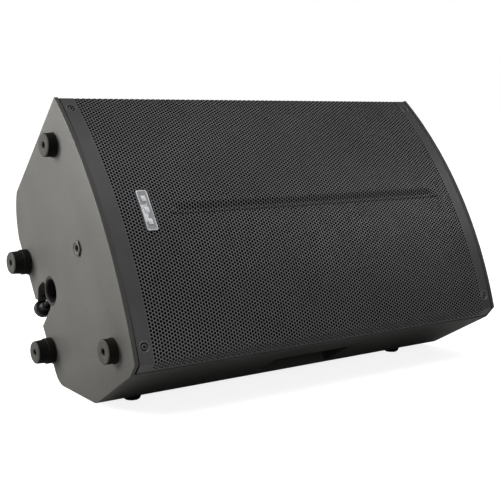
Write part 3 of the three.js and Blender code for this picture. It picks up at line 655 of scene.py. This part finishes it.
def make_housing():
    shell = combine(housing_block(), hump("hump", 0, HUMP_REAR, 7), "UNION")
    for label in ("tall_upper", "tall_lower"):
        w, n = FEET[label]
        radius = FOOT_BASE + 1.5
        boss = lathe("boss", [(0, -360), (radius, -360), (radius, -298), (0, -292)], "x", (0, w, n), 48)
        trim = box("trim", (-500, -400, -400), (-end_face(n), 400, 100))
        shell = combine(shell, combine(boss, trim), "UNION")

    # The hollow: the cross-section moved in, open at the front between the end rims.
    outline = rounded_outline(*housing_points(), steps=3)
    inner = moved_in(outline, WALL)
    half = HALF_LENGTH - END_WALL
    hollow = loft("hollow", [[leaning(x, p.x, p.y) for p in inner] for x in (-half, half)])
    well = box("well", (-half, -300, SEAM), (half, 300, 100))
    lip = box("lip", (-half, lower_side(0) + WALL, SEAM - 20), (half, upper_side(0) - WALL, 100))
    hollow = combine(combine(hollow, lip, "UNION"), hump("inner", WALL, HUMP_FLOOR, 0), "UNION")
    shell = combine(combine(shell, hollow), well)

    # Walls of the scoop, and the sleeve that holds the pole cup.
    walls = along_x("walls", scoop_outline(4), -HALF_LENGTH + 20, -288)
    walls = combine(walls, box("keep", (-400, -100, REAR), (-200, 100, 0)), "INTERSECT")
    axis = (0, POLE_W, POLE_N)
    sleeve = rod(POLE_BORE + POLE_WALL + 4, -336, -280, "x", axis, 48)
    shell = combine(combine(shell, walls, "UNION"), sleeve, "UNION")
    shell = combine(shell, along_x("scoop", scoop_outline(0), -FAR, -292))
    shell = combine(shell, rod(POLE_BORE + POLE_WALL + GAP, -FAR, -200, "x", axis, 64))

    for side in (-1, 1):
        shell = combine(shell, handle_block(side, GAP, RECESS_ROUND))
    shell = combine(shell, top_handle_block(GAP, RECESS_ROUND))
    window = rounded_outline([(-150, -62), (150, -62), (150, 62), (-150, 62)], [8] * 4, 5)
    shell = combine(shell, loft("window", [[(p.x, p.y, n) for p in window] for n in (-400, HUMP_FLOOR + 10)]))
    for _, end, w in INSERTS:
        shell = combine(shell, rod(8.2, -60, 60, "x", (end * HALF_LENGTH, w, INSERT_N)))
    for w, n in FEET.values():
        shell = combine(shell, rod(2.8, -400, -300, "x", (0, w, n), 20))
    soften(shell, 0.7)
    finish_piece(shell, M["housing"], replaces=["rear_shell"])
    shell.name = "rear_shell_moulding"
    # Painted shadow: faces at the seam that look out of the front get the near-black finish, for the shade in
    # the gap between the grille's flange and the housing.
    shell.data.materials.append(M["painted_shade"])
    back = TO_FRAME.inverted()
    for polygon in shell.data.polygons:
        in_seam_shade = abs((back @ polygon.center).z - SEAM) < SEAM_SHADE_BAND
        if in_seam_shade and polygon.normal.dot(OUT) > SEAM_SHADE_FACING:
            polygon.material_index = 1


def make_handle_cups():
    """Thin cups that line the two side recesses and the one in the top end."""
    for name, node, space in (
        ("side_handle_upper", "side_handle_cup_upper", lambda *size: handle_block(1, *size)),
        ("side_handle_lower", "side_handle_cup_lower", lambda *size: handle_block(-1, *size)),
        ("top_handle", "top_handle_cup", top_handle_block),
    ):
        cup = combine(space(-CUP_GAP, RECESS_ROUND), housing_block(), "INTERSECT")
        cup = combine(cup, space(-CUP_WALL, RECESS_ROUND - 2))
        soften(cup, 0.8, 50)
        cup.name = name
        finish_piece(cup, M["cup"], replaces=[node])


# ---------------- grille

FLANGE_END = SEAM + 2.7
# dark: the band across the sheet that gets painted shade along the crease's step
CREASE = dict(low_x=-241, high_x=297, step=1, edge=0.06, width=16, floor=0.4, depth=4.2, taper=22,
              dark=(0.6, 2.8))
COATED, PAINTED_SHADE, PLAIN = 0, 1, 2  # material slots of a grille length; the second holds near-black painted shade
WELD = 50  # lattice corners that agree to 1/50 mm are one


class Fold:
    """One long edge of the sheet: where its arc ends, and how far the sheet bends before its flange."""

    def __init__(self, chord, lean):
        self.start = math.asin(chord / GRILLE_RADIUS)
        self.end = math.pi / 2 + lean
        self.arc = GRILLE_RADIUS * self.start
        self.bent = self.arc + FOLD_RADIUS * (self.end - self.start)
        bent_n = (GRILLE_LIFT + GRILLE_RISE - GRILLE_RADIUS * (1 - math.cos(self.start))
                  - FOLD_RADIUS * (math.cos(self.start) - math.cos(self.end)))
        self.edge = self.bent + (bent_n - FLANGE_END) / math.sin(self.end)


UPPER_FOLD = Fold(205.1, math.atan(SIDE_TAPER))
LOWER_FOLD = Fold(207.3, -math.atan2(CROWN_W - HALF_WIDTH - SKIRT_W, RIM_CORNER - SKIRT_N))


def across_sheet(s):
    """Points (w, n) and outward directions at arc lengths s from the sheet's crown line."""
    side = np.sign(s)
    a = np.abs(s)

    def per_side(name):
        return np.where(side > 0, getattr(UPPER_FOLD, name), getattr(LOWER_FOLD, name))

    start, arc, bent = per_side("start"), per_side("arc"), per_side("bent")
    lean = np.minimum(a, arc) / GRILLE_RADIUS
    w = GRILLE_RADIUS * np.sin(lean)
    n = GRILLE_LIFT + GRILLE_RISE - GRILLE_RADIUS * (1 - np.cos(lean))
    lean = lean + np.clip(a - arc, 0, bent - arc) / FOLD_RADIUS
    folded = a > arc
    w += np.where(folded, FOLD_RADIUS * (np.sin(lean) - np.sin(start)), 0)
    n -= np.where(folded, FOLD_RADIUS * (np.cos(start) - np.cos(lean)), 0)
    flange = np.maximum(a - bent, 0)
    w += flange * np.cos(lean)
    n -= flange * np.sin(lean)
    return CROWN_W + side * w, n, side * np.sin(lean), np.cos(lean)


def crease_sink(x, w):
    """How deep the pressed crease lies: a slope, a level floor and a sharp step, fading at both ends."""
    c = CREASE
    above = (w - c["step"]) / c["width"]
    slope = np.where(above >= 0, np.clip((1 - above) / (1 - c["floor"]), 0, 1), 0)
    slope = np.where((above > -c["edge"]) & (above < 0), 1 + above / c["edge"], slope)
    ends = np.clip(np.minimum(x - c["low_x"], c["high_x"] - x) / c["taper"], 0, 1)
    return c["depth"] * slope * ends


def sheet_surface(x, s, depth):
    """Cabinet-axes points of the sheet at depth below its outer face."""
    w, n, out_w, out_n = across_sheet(s)
    sink = crease_sink(x, w) + depth
    return np.stack([x, w - out_w * sink, n - out_n * sink], axis=1)


def make_grille():
    """A hexagonal lattice of cells; a cell in the perforated field has a round hole in it."""
    column = HOLE_PITCH * math.sqrt(3) / 2
    columns = int(math.ceil(GRILLE_HALF_LENGTH / column)) + 1
    rows = int(math.ceil(LOWER_FOLD.edge / HOLE_PITCH)) + 1
    length = 2 * GRILLE_HALF_LENGTH
    seams = [-GRILLE_HALF_LENGTH + length * k / GRILLE_PANELS for k in range(1, GRILLE_PANELS)]
    cells = [[] for _ in range(GRILLE_PANELS)]
    for i in range(-columns, columns + 1):
        x = HOLES_MIDDLE + i * column
        if not HOLES_X[0] - column < x < HOLES_X[1] + column:
            continue
        panel = sum(x > seam for seam in seams)
        for j in range(-rows, rows + 1):
            s = (j + 0.5 * (i % 2)) * HOLE_PITCH
            if not -LOWER_FOLD.edge - HOLE_PITCH < s < UPPER_FOLD.edge + HOLE_PITCH:
                continue
            inside = HOLES_SHORT_OF_EDGE - LOWER_FOLD.edge < s < UPPER_FOLD.arc + HOLES_PAST_FOLD
            cells[panel].append((x, s, inside and HOLES_X[0] < x < HOLES_X[1]))
    for index, group in enumerate(cells):
        build_panel(index, group)
    for label, low, high in (
        ("bottom", -GRILLE_HALF_LENGTH, HOLES_X[0] - STRIP_EDGE),
        ("top", HOLES_X[1] + STRIP_EDGE, GRILLE_HALF_LENGTH),
    ):
        build_strip(label, low, high)


def build_strip(label, low, high):
    """A plain end of the grille, with its screw holes and a rounded outer edge."""
    middle = np.linspace(-LOWER_FOLD.arc, UPPER_FOLD.arc, 61)
    lower = np.linspace(-LOWER_FOLD.bent, -LOWER_FOLD.arc, 9)[:-1]
    upper = np.linspace(UPPER_FOLD.arc, UPPER_FOLD.bent, 9)[1:]
    along = np.concatenate([[-LOWER_FOLD.edge], lower, middle, upper, [UPPER_FOLD.edge]])
    rings = []
    for x in (low, high):
        sides = [sheet_surface(np.full(along.shape, x), along, depth) for depth in (0.0, GRILLE_SHEET)]
        ring = [tuple(p) for p in sides[0]] + [tuple(p) for p in sides[1][::-1]]
        rings.append([leaning(*p) for p in ring] if abs(x) == GRILLE_HALF_LENGTH else ring)
    strip = loft(f"grille_end_{label}", rings)
    for x, place in screw_places():
        if low < x < high:
            hole = rod(SCREW_HOLE, -20, 20, "n", segments=48)
            hole.data.transform(place)
            combine(strip, hole)
    finish_piece(strip, M["grille_strip"], replaces=["grille"], sharp=30)


def make_gap_shade_strips():
    """Black foam-finished strips that fill most of the gap between the grille's ends and the end rims: dark
    sheets put there as painted shade for the gap.
    """
    arc = np.linspace(-LOWER_FOLD.bent, UPPER_FOLD.bent, 81)
    for label, end in (("bottom", -1), ("top", 1)):
        rings = []
        for x in (GRILLE_HALF_LENGTH + 0.3, HALF_LENGTH - END_WALL - 0.1):
            sides = [sheet_surface(np.zeros(arc.shape), arc, depth) for depth in (0.7, 5.0)]
            ring = np.concatenate([sides[0], sides[1][::-1]])
            rings.append([leaning(end * x, w, n) for _, w, n in ring.tolist()])
        finish_piece(loft(f"grille_gap_shade_strip_{label}", rings), M["foam"])


def is_wall(face, flat):
    """Whether a face runs from the sheet's outer side to its back."""
    depths = flat[face, 2]
    return depths.max() > depths.min()


def build_panel(index, group):
    """One length of the grille. Cells share their corners, so the panel is one closed sheet."""
    points, faces, lookup = [], [], {}
    corner = HOLE_PITCH / math.sqrt(3)

    def vertex(x, s, back):
        x = min(max(x, HOLES_X[0] - STRIP_EDGE), HOLES_X[1] + STRIP_EDGE)
        s = min(max(s, -LOWER_FOLD.edge), UPPER_FOLD.edge)
        key = (round(x * WELD), round(s * WELD), back)
        if key not in lookup:
            lookup[key] = len(points)
            points.append((x, s, GRILLE_SHEET if back else 0.0))
        return lookup[key]

    def add(face, flip):
        clean = []
        for v in face:
            if not clean or clean[-1] != v:
                clean.append(v)
        if len(clean) > 1 and clean[0] == clean[-1]:
            clean.pop()
        if len(set(clean)) > 2 and len(set(clean)) == len(clean):
            faces.append(clean[::-1] if flip else clean)

    border = {}
    for x, s, holed in group:
        angles = [math.pi / 3 * k for k in range(6)]
        corners = [(x + corner * math.cos(a), s + corner * math.sin(a)) for a in angles]
        rims = []
        for back in (False, True):
            ring = [vertex(px, ps, back) for px, ps in corners]
            if not holed:
                add(ring, back)
            else:
                base = len(points)
                rims.append(base)
                for k in range(HOLE_SIDES):
                    a = 2 * math.pi * k / HOLE_SIDES
                    points.append((x + HOLE_RADIUS * math.cos(a), s + HOLE_RADIUS * math.sin(a),
                                   GRILLE_SHEET if back else 0.0))
                for k in range(6):
                    h = [base + (2 * k + m) % HOLE_SIDES for m in (2, 1, 0)]
                    add([ring[k], ring[(k + 1) % 6], h[0], h[1], h[2]], back)
            if not back:
                for a, b in zip(ring, ring[1:] + ring[:1]):
                    if a != b:
                        border.setdefault((min(a, b), max(a, b)), []).append((a, b))
        if holed:
            front, rear = rims
            for k in range(HOLE_SIDES):
                m = (k + 1) % HOLE_SIDES
                faces.append([front + k, front + m, rear + m, rear + k])

    front_to_back = {}
    for (kx, ks, back), v in lookup.items():
        if not back:
            front_to_back[v] = lookup[(kx, ks, True)]
    for uses in border.values():
        if len(uses) == 1:
            a, b = uses[0]
            faces.append([b, a, front_to_back[a], front_to_back[b]])

    flat = np.array(points)
    world = sheet_surface(flat[:, 0], flat[:, 1], flat[:, 2])
    mesh = bpy.data.meshes.new(f"grille_length_{index + 1}")
    mesh.from_pydata(world.tolist(), [], faces)
    obj = placed(mesh.name, mesh)
    finish_piece(obj, M["grille"], replaces=["grille"], sharp=50)
    # Painted shade: hole walls and a band along the crease's step get the near-black finish, for the shade
    # inside the holes and the fold.
    obj.data.materials.append(M["painted_shade"])
    obj.data.materials.append(M["grille_strip"])
    slots = []
    for face in faces:
        x, s, _ = flat[face].mean(axis=0)
        low, high = CREASE["dark"]
        in_fold_shade = CREASE["low_x"] < x < CREASE["high_x"] and low < s + CROWN_W < high
        beside_hole = len(face) == 5
        slots.append(PAINTED_SHADE if in_fold_shade or is_wall(face, flat) else COATED if beside_hole else PLAIN)
    obj.data.polygons.foreach_set("material_index", slots)


# ---------------- badge and grille screws

def make_badge():
    """A plain plate with a raised border and three short bars, no lettering."""
    x, w = BADGE_X, BADGE_W
    outline = rounded_outline([(-8.5, -31.5), (8.5, -31.5), (8.5, 31.5), (-8.5, 31.5)], [2.2] * 4, 5)

    def bowed(points, lift):
        return [(x + p[0], w + p[1], grille_arc(w + p[1]) + lift) for p in points]

    def dense(points):
        result = []
        for a, b in zip(points, points[1:] + points[:1]):
            pieces = max(1, int((Vector(b) - Vector(a)).length / 6))
            result += [tuple(Vector(a).lerp(Vector(b), k / pieces)) for k in range(pieces)]
        return result

    outer = dense([tuple(p) for p in outline])
    inner = [(p[0] * 0.84, p[1] * 0.955) for p in outer]
    plate = loft("badge_plate", [bowed(outer, 0.4), bowed(outer, 2.4)])
    pocket = loft("pocket", [bowed(inner, 1.7), bowed(inner, 6)])
    combine(plate, pocket)
    soften(plate, 0.35)
    plate.name = "badge_border"
    finish_piece(plate, M["badge_rim"], replaces=["badge"])
    inner = [(p[0] * 0.83, p[1] * 0.95) for p in outer]
    field = loft("badge_field", [bowed(inner, 1.72), bowed(inner, 2.0)])
    finish_piece(field, M["badge_field"])
    for k, centre in enumerate((-18, 0, 18)):
        face = grille_arc(w + centre) + 1.9
        low, high = (x - 3.4, w + centre - 4.6, face), (x + 3.4, w + centre + 4.6, face + 0.8)
        bar = box(f"badge_bar_{k + 1}", low, high, 0.35, 2)
        finish_piece(bar, M["badge_rim"])


def screw_places():
    """x and the placing of each grille screw, square to the curve."""
    places = []
    for end in (-1, 1):
        for side in (-1, 1):
            w = CROWN_W + side * SCREW_SIDE
            tilt = Matrix.Rotation(-side * math.asin(SCREW_SIDE / GRILLE_RADIUS), 4, "X")
            places.append((end * SCREW_X, Matrix.Translation((end * SCREW_X, w, grille_arc(w))) @ tilt))
    return places


def make_grille_screws():
    """Socket heads at the bottom of dished rings pressed into the grille."""
    for index, (_, place) in enumerate(screw_places(), 1):
        head = lathe(f"grille_screw_head_{index}", [
            (0, -24), (2, -24), (2, -5), (3.9, -4.2), (4.2, -1.3), (3.6, -0.6), (2.2, -0.6),
            (2.1, -3.0), (0, -3.0),
        ], "n", segments=36)
        head.data.transform(place)
        finish_piece(head, M["screw_ring"], replaces=[f"grille_screw_{index}"], sharp=60)
        # painted shade inside the screw head's socket
        paint_bore_shade(head, place, 2.15)
        dish = lathe(f"grille_dimple_{index}", [
            (5.2, -2.8), (5.7, -1.9), (6.3, 0.0), (7.0, 0.55), (7.8, 0.4), (8.4, -0.1), (6.2, -0.9),
            (5.2, -3.4),
        ], "n", segments=48)
        dish.data.transform(place)
        finish_piece(dish, M["screw_ring"], sharp=60)


# ---------------- feet and pads

def make_feet():
    for label, (w, n) in FEET.items():
        tall = label.startswith("tall")
        base = -end_face(n) - FOOT_TIP_X
        step = base * (0.56 if tall else 0.8)
        foot_base = FOOT_BASE if tall else FOOT_RADIUS + 1.0
        profile = [
            (2.8, base + 1.5), (foot_base, base + 1.5), (foot_base, step + 1.2), (foot_base - 0.8, step),
            (FOOT_RADIUS + (0.9 if tall else 0.1), step), (FOOT_RADIUS, 1.4), (FOOT_RADIUS - 1.4, 0),
            (6.2, 0), (4.6, 1.2), (4.6, 7), (2.8, 7),
        ]
        foot = lathe(f"end_foot_{label}", profile, "x", (FOOT_TIP_X, w, n), 72,
                     [0, 1.5, 0.8, 0.4, 0.6, 0.8, 0.8, 0.8, 0.8, 0, 0])
        inside = ((-300, -400), (300, -400), (300, 200), (-300, 200))
        cutter = loft("trim", [[leaning(x, *p) for p in inside] for x in (-HALF_LENGTH - GAP, 0)])
        combine(foot, cutter)
        finish_piece(foot, M["rubber"], replaces=[f"foot_{label}"])
        # painted shade inside the foot's bore
        paint_bore_shade(foot, bore_along_x(w, n), 5.2)
        # Painted light: the faces at the tip get the paler rubber, as if lit from the left.
        foot.data.materials.append(M["rubber_painted_lit_tip"])
        lit_tip_x = (TO_FRAME @ Vector((FOOT_TIP_X + 1, w, n))).x
        for polygon in foot.data.polygons:
            if polygon.material_index == 0 and polygon.center.x < lit_tip_x:
                polygon.material_index = 2
        screw = lathe(f"foot_screw_head_{label}", [
            (0, 5.2), (1.6, 5.2), (1.6, 4.4), (3.6, 4.0), (4.2, 4.9), (4.2, 6.8), (2.3, 6.8), (2.3, base + 8),
            (0, base + 8)], "x", (FOOT_TIP_X, w, n), 32)
        finish_piece(screw, M["screw_black"], replaces=[f"foot_screw_{label}"])


def make_pads():
    index = 0
    down = Vector((0, math.sin(ROLL), math.cos(ROLL)))
    for x in PAD_X:
        for n in PAD_N:
            index += 1
            pad = lathe(f"floor_pad_{index}", [
                (0, 0), (PAD_RADIUS - 4, 0), (PAD_RADIUS - 1.6, 2), (PAD_RADIUS - 0.4, 5.6),
                (PAD_RADIUS, PAD_HEIGHT - 0.2), (0, PAD_HEIGHT - 0.2),
            ], "n", segments=48, radii=[1.4, 2.5, 1.5, 0.1])
            place = Vector((x, slanted_side(n), n)) - down * PAD_HEIGHT
            pad.data.transform(Matrix.Translation(place) @ Matrix.Rotation(-ROLL, 4, "X"))
            finish_piece(pad, M["rubber"], replaces=[f"monitor_pad_{index}"])


# ---------------- pole socket and rigging

THREAD_PITCH, STUD_RADIUS, STUD_N = 1.25, 4.0, (-268.5, -219.2)
KNOB_RADIUS, KNOB_N = 14, (-276, -265)
FLUTES, FLUTE_RADIUS = 12, 1.5
FLANGE_RADIUS = 13

def make_pole_socket():
    mouth = -end_face(POLE_N) + 0.5
    cup = lathe("pole_socket_sleeve", [
        (0, POLE_DEPTH - 4), (POLE_BORE, POLE_DEPTH - 4), (POLE_BORE, 2.0), (POLE_BORE + 1.6, 0),
        (POLE_BORE + POLE_WALL, 0), (POLE_BORE + POLE_WALL, POLE_DEPTH), (0, POLE_DEPTH),
    ], "x", (mouth, POLE_W, POLE_N), 96, [0.5, 1, 0.8, 0.8, 0.6])
    place = (LOCK_PLACE.x, POLE_W, 0)
    combine(cup, rod(STUD_RADIUS + 0.5, POLE_N - 60, POLE_N, "n", place))
    finish_piece(cup, M["pole_cup"], replaces=["pole_socket_cup"])

    # Threaded stud: a row of shallow ridges along its length.
    low, high = STUD_N
    profile = [(0, low), (3.4, low)]
    for k in range(int((high - low - 2) / THREAD_PITCH)):
        base = low + 1 + k * THREAD_PITCH
        profile += [(3.4, base), (STUD_RADIUS, base + THREAD_PITCH / 2)]
    profile += [(3.4, high - 0.8), (2.6, high), (0, high)]
    stud = lathe("pole_lock_thread", profile, "n", place, 32)
    finish_piece(stud, M["screw_steel"], "lock_stud", ["pole_lock_stud"])

    low, high = KNOB_N
    knob = lathe("pole_lock_handwheel", [
        (0, low), (12, low), (KNOB_RADIUS, low + 1.6), (KNOB_RADIUS, high - 1.4), (12.6, high), (7.6, high),
        (6.4, high + 9), (4.4, high + 9), (4.4, high - 4), (0, high - 4),
    ], "n", place, 96, [1.5, 1.2, 1.0, 0.8, 1.6, 0.8, 0.4, 0.3])
    reach = KNOB_RADIUS + 0.6
    for k in range(FLUTES):
        angle = 2 * math.pi * k / FLUTES
        centre = (LOCK_PLACE.x + reach * math.cos(angle), POLE_W + reach * math.sin(angle), 0)
        combine(knob, rod(FLUTE_RADIUS, low - 5, high + 5, "n", centre, 16))
    finish_piece(knob, M["knob_plastic"], "lock_knob", ["pole_lock_knob"], sharp=40)


def make_inserts():
    """A six-sided flange with a dished face round the threaded hole."""
    for label, end, w in INSERTS:
        flange = hex_insert(f"rigging_flange_{label}")
        if end > 0:
            flange.data.transform(Matrix.Rotation(math.pi, 4, "Z"))
        flange.data.transform(Matrix.Rotation(end * math.atan(END_LEAN), 4, "Y"))
        flange.data.transform(Matrix.Translation((end * (end_face(INSERT_N) + 0.25), w, INSERT_N)))
        finish_piece(flange, M["insert"], replaces=[f"rigging_insert_{label}"])
        # painted shade inside the insert's bore
        paint_bore_shade(flange, bore_along_x(w, INSERT_N), 5.3)


def hex_insert(name):
    plate = lathe(name, [(0, -2.5), (FLANGE_RADIUS, -2.5), (FLANGE_RADIUS, 0), (0, 0)], "x", segments=6)
    bevel(plate, 0.7, 2)
    combine(plate, rod(7.6, -1, 34, "x", segments=40), "UNION")
    bore = [(0, -6), (8.6, -6), (8.6, -2.0), (6.6, -1.4), (5.2, -1.2), (4.6, 0)]
    for k in range(18):
        bore += [(4.6, 0.6 + k * 1.5), (4.2, 1.35 + k * 1.5)]
    bore += [(4.4, 30), (0, 30)]
    combine(plate, lathe("bore", bore, "x", segments=40))
    return plate


# ---------------- CAD nodes that keep their own shape

KEEPS = {
    "black_plastic": ["front_baffle", "horn_flare", "port_tube_upper", "port_tube_lower",
        "input_socket_1", "input_socket_2", "link_socket", "mains_inlet", "power_rocker_frame",
        "reservoir_capacitor"],
    "foam": ["grille_foam"],
    "cast": ["woofer_basket", "heat_sink"],
    "rubber": ["woofer_surround"],
    "paper": ["woofer_cone", "woofer_dust_cap"],
    "copper": ["woofer_voice_coil"],
    "cloth": ["woofer_spider"],
    "dark_zinc": ["woofer_magnet", "compression_driver", "mains_transformer"],
    "black_steel": ["amp_panel"],
    "knob_plastic": ["level_knob_1", "level_knob_2", "main_level_knob", "power_rocker"],
    "button_plastic": ["eq_button", "mic_line_button"],
    "lens": ["status_lens"],
    "board": ["amp_board"],
}


def dress_cad_nodes():
    for key, names in KEEPS.items():
        for name in names:
            for slot in frame["nodes"][name].material_slots:
                slot.material = M[key]


# ---------------- stage, light, camera

def make_stage():
    bm = bmesh.new()
    bmesh.ops.create_grid(bm, x_segments=1, y_segments=1, size=60)
    floor = scratch("floor", bm)
    material, tree, shader = sheet_of_nodes("pale_floor")
    speck = noise(tree, 3, 2)
    tree.links.new(ramp(tree, speck, [(0.3, (0.43, 0.43, 0.43)), (0.7, (0.46, 0.46, 0.46))]),
              shader.inputs["Base Color"])
    shader.inputs["Roughness"].default_value = 0.9
    shader.inputs["Specular IOR Level"].default_value = 0.0
    shader.inputs["Emission Color"].default_value = (1, 1, 1, 1)
    tree.links.new(scaled(tree, tree.nodes.new("ShaderNodeLightPath").outputs["Is Camera Ray"], 0.85),
              shader.inputs["Emission Strength"])
    floor.data.materials.append(material)


def area_light(name, place, target, size, energy, colour=(1, 1, 1)):
    light = bpy.data.lights.new(name, "AREA")
    light.shape = "RECTANGLE"
    light.size, light.size_y = size
    light.energy = energy
    light.color = colour
    obj = placed(name, light)
    obj.location = place
    obj.rotation_euler = (Vector(target) - Vector(place)).to_track_quat("-Z", "Y").to_euler()


def make_light():
    world = bpy.data.worlds.new("studio")
    bpy.context.scene.world = world
    world.use_nodes = True
    tree = world.node_tree
    links = tree.links
    lit = tree.nodes["Background"]
    lit.inputs["Color"].default_value = (0.95, 0.97, 1.0, 1)
    lit.inputs["Strength"].default_value = 0.08
    seen = add_node(tree, "ShaderNodeBackground", Color=(1, 1, 1, 1), Strength=1.0)
    path = add_node(tree, "ShaderNodeLightPath")
    mix = add_node(tree, "ShaderNodeMixShader")
    links.new(path.outputs["Is Camera Ray"], mix.inputs["Fac"])
    links.new(lit.outputs["Background"], mix.inputs[1])
    links.new(seen.outputs["Background"], mix.inputs[2])
    links.new(mix.outputs["Shader"], tree.nodes["World Output"].inputs["Surface"])
    sun = placed("overhead_sun", bpy.data.lights.new("overhead_sun", "SUN"))
    sun.data.energy, sun.data.angle = 2.1, math.radians(50)
    sun.rotation_euler = Vector((0.25, 0.12, -1)).to_track_quat("-Z", "Y").to_euler()
    area_light("left_softbox", (-1.5, 0.8, 0.72), (-0.35, 0.05, 0.25), (0.9, 0.9), 60, (1.0, 0.98, 0.95))
    area_light("top_softbox", (0.3, -0.8, 2.2), (0, 0, 0.2), (2.4, 1.0), 10)
    area_light("front_softbox", (-0.2, -2.3, 1.0), (0, 0, 0.2), (2.0, 1.0), 11)
    area_light("right_softbox", (1.25, -0.85, 1.2), (0.34, -0.1, 0.25), (0.6, 0.6), 3.5)


def make_camera():
    """73.7 mm lens on a 36 mm sensor, low and to the left of the front. The place and the turn come
    from a perspective fit to the housing's edges in the photo."""
    data = bpy.data.cameras.new("camera")
    data.lens, data.sensor_width = 73.7, 36
    camera = placed("camera", data)
    section_origin = TO_FRAME @ Vector((0, 0, 0))
    forward = Vector((0.58435, 0.80196, -0.12406)).normalized()
    right = forward.cross(Vector((0.07696, 0.09742, 0.99226))).normalized()
    camera.location = section_origin + Vector((-1.00435, -1.26144, 0.14606))
    camera.rotation_mode = "QUATERNION"
    camera.rotation_quaternion = Matrix((right, right.cross(forward), -forward)).transposed().to_quaternion()
    bpy.context.scene.camera = camera
    bpy.context.scene.view_settings.view_transform = "Standard"
    bpy.context.scene.view_settings.look = "None"


make_camera()
make_stage()
make_light()
make_housing()
make_handle_cups()
make_grille()
make_gap_shade_strips()
make_badge()
make_grille_screws()
make_feet()
make_pads()
make_pole_socket()
make_inserts()
dress_cad_nodes()
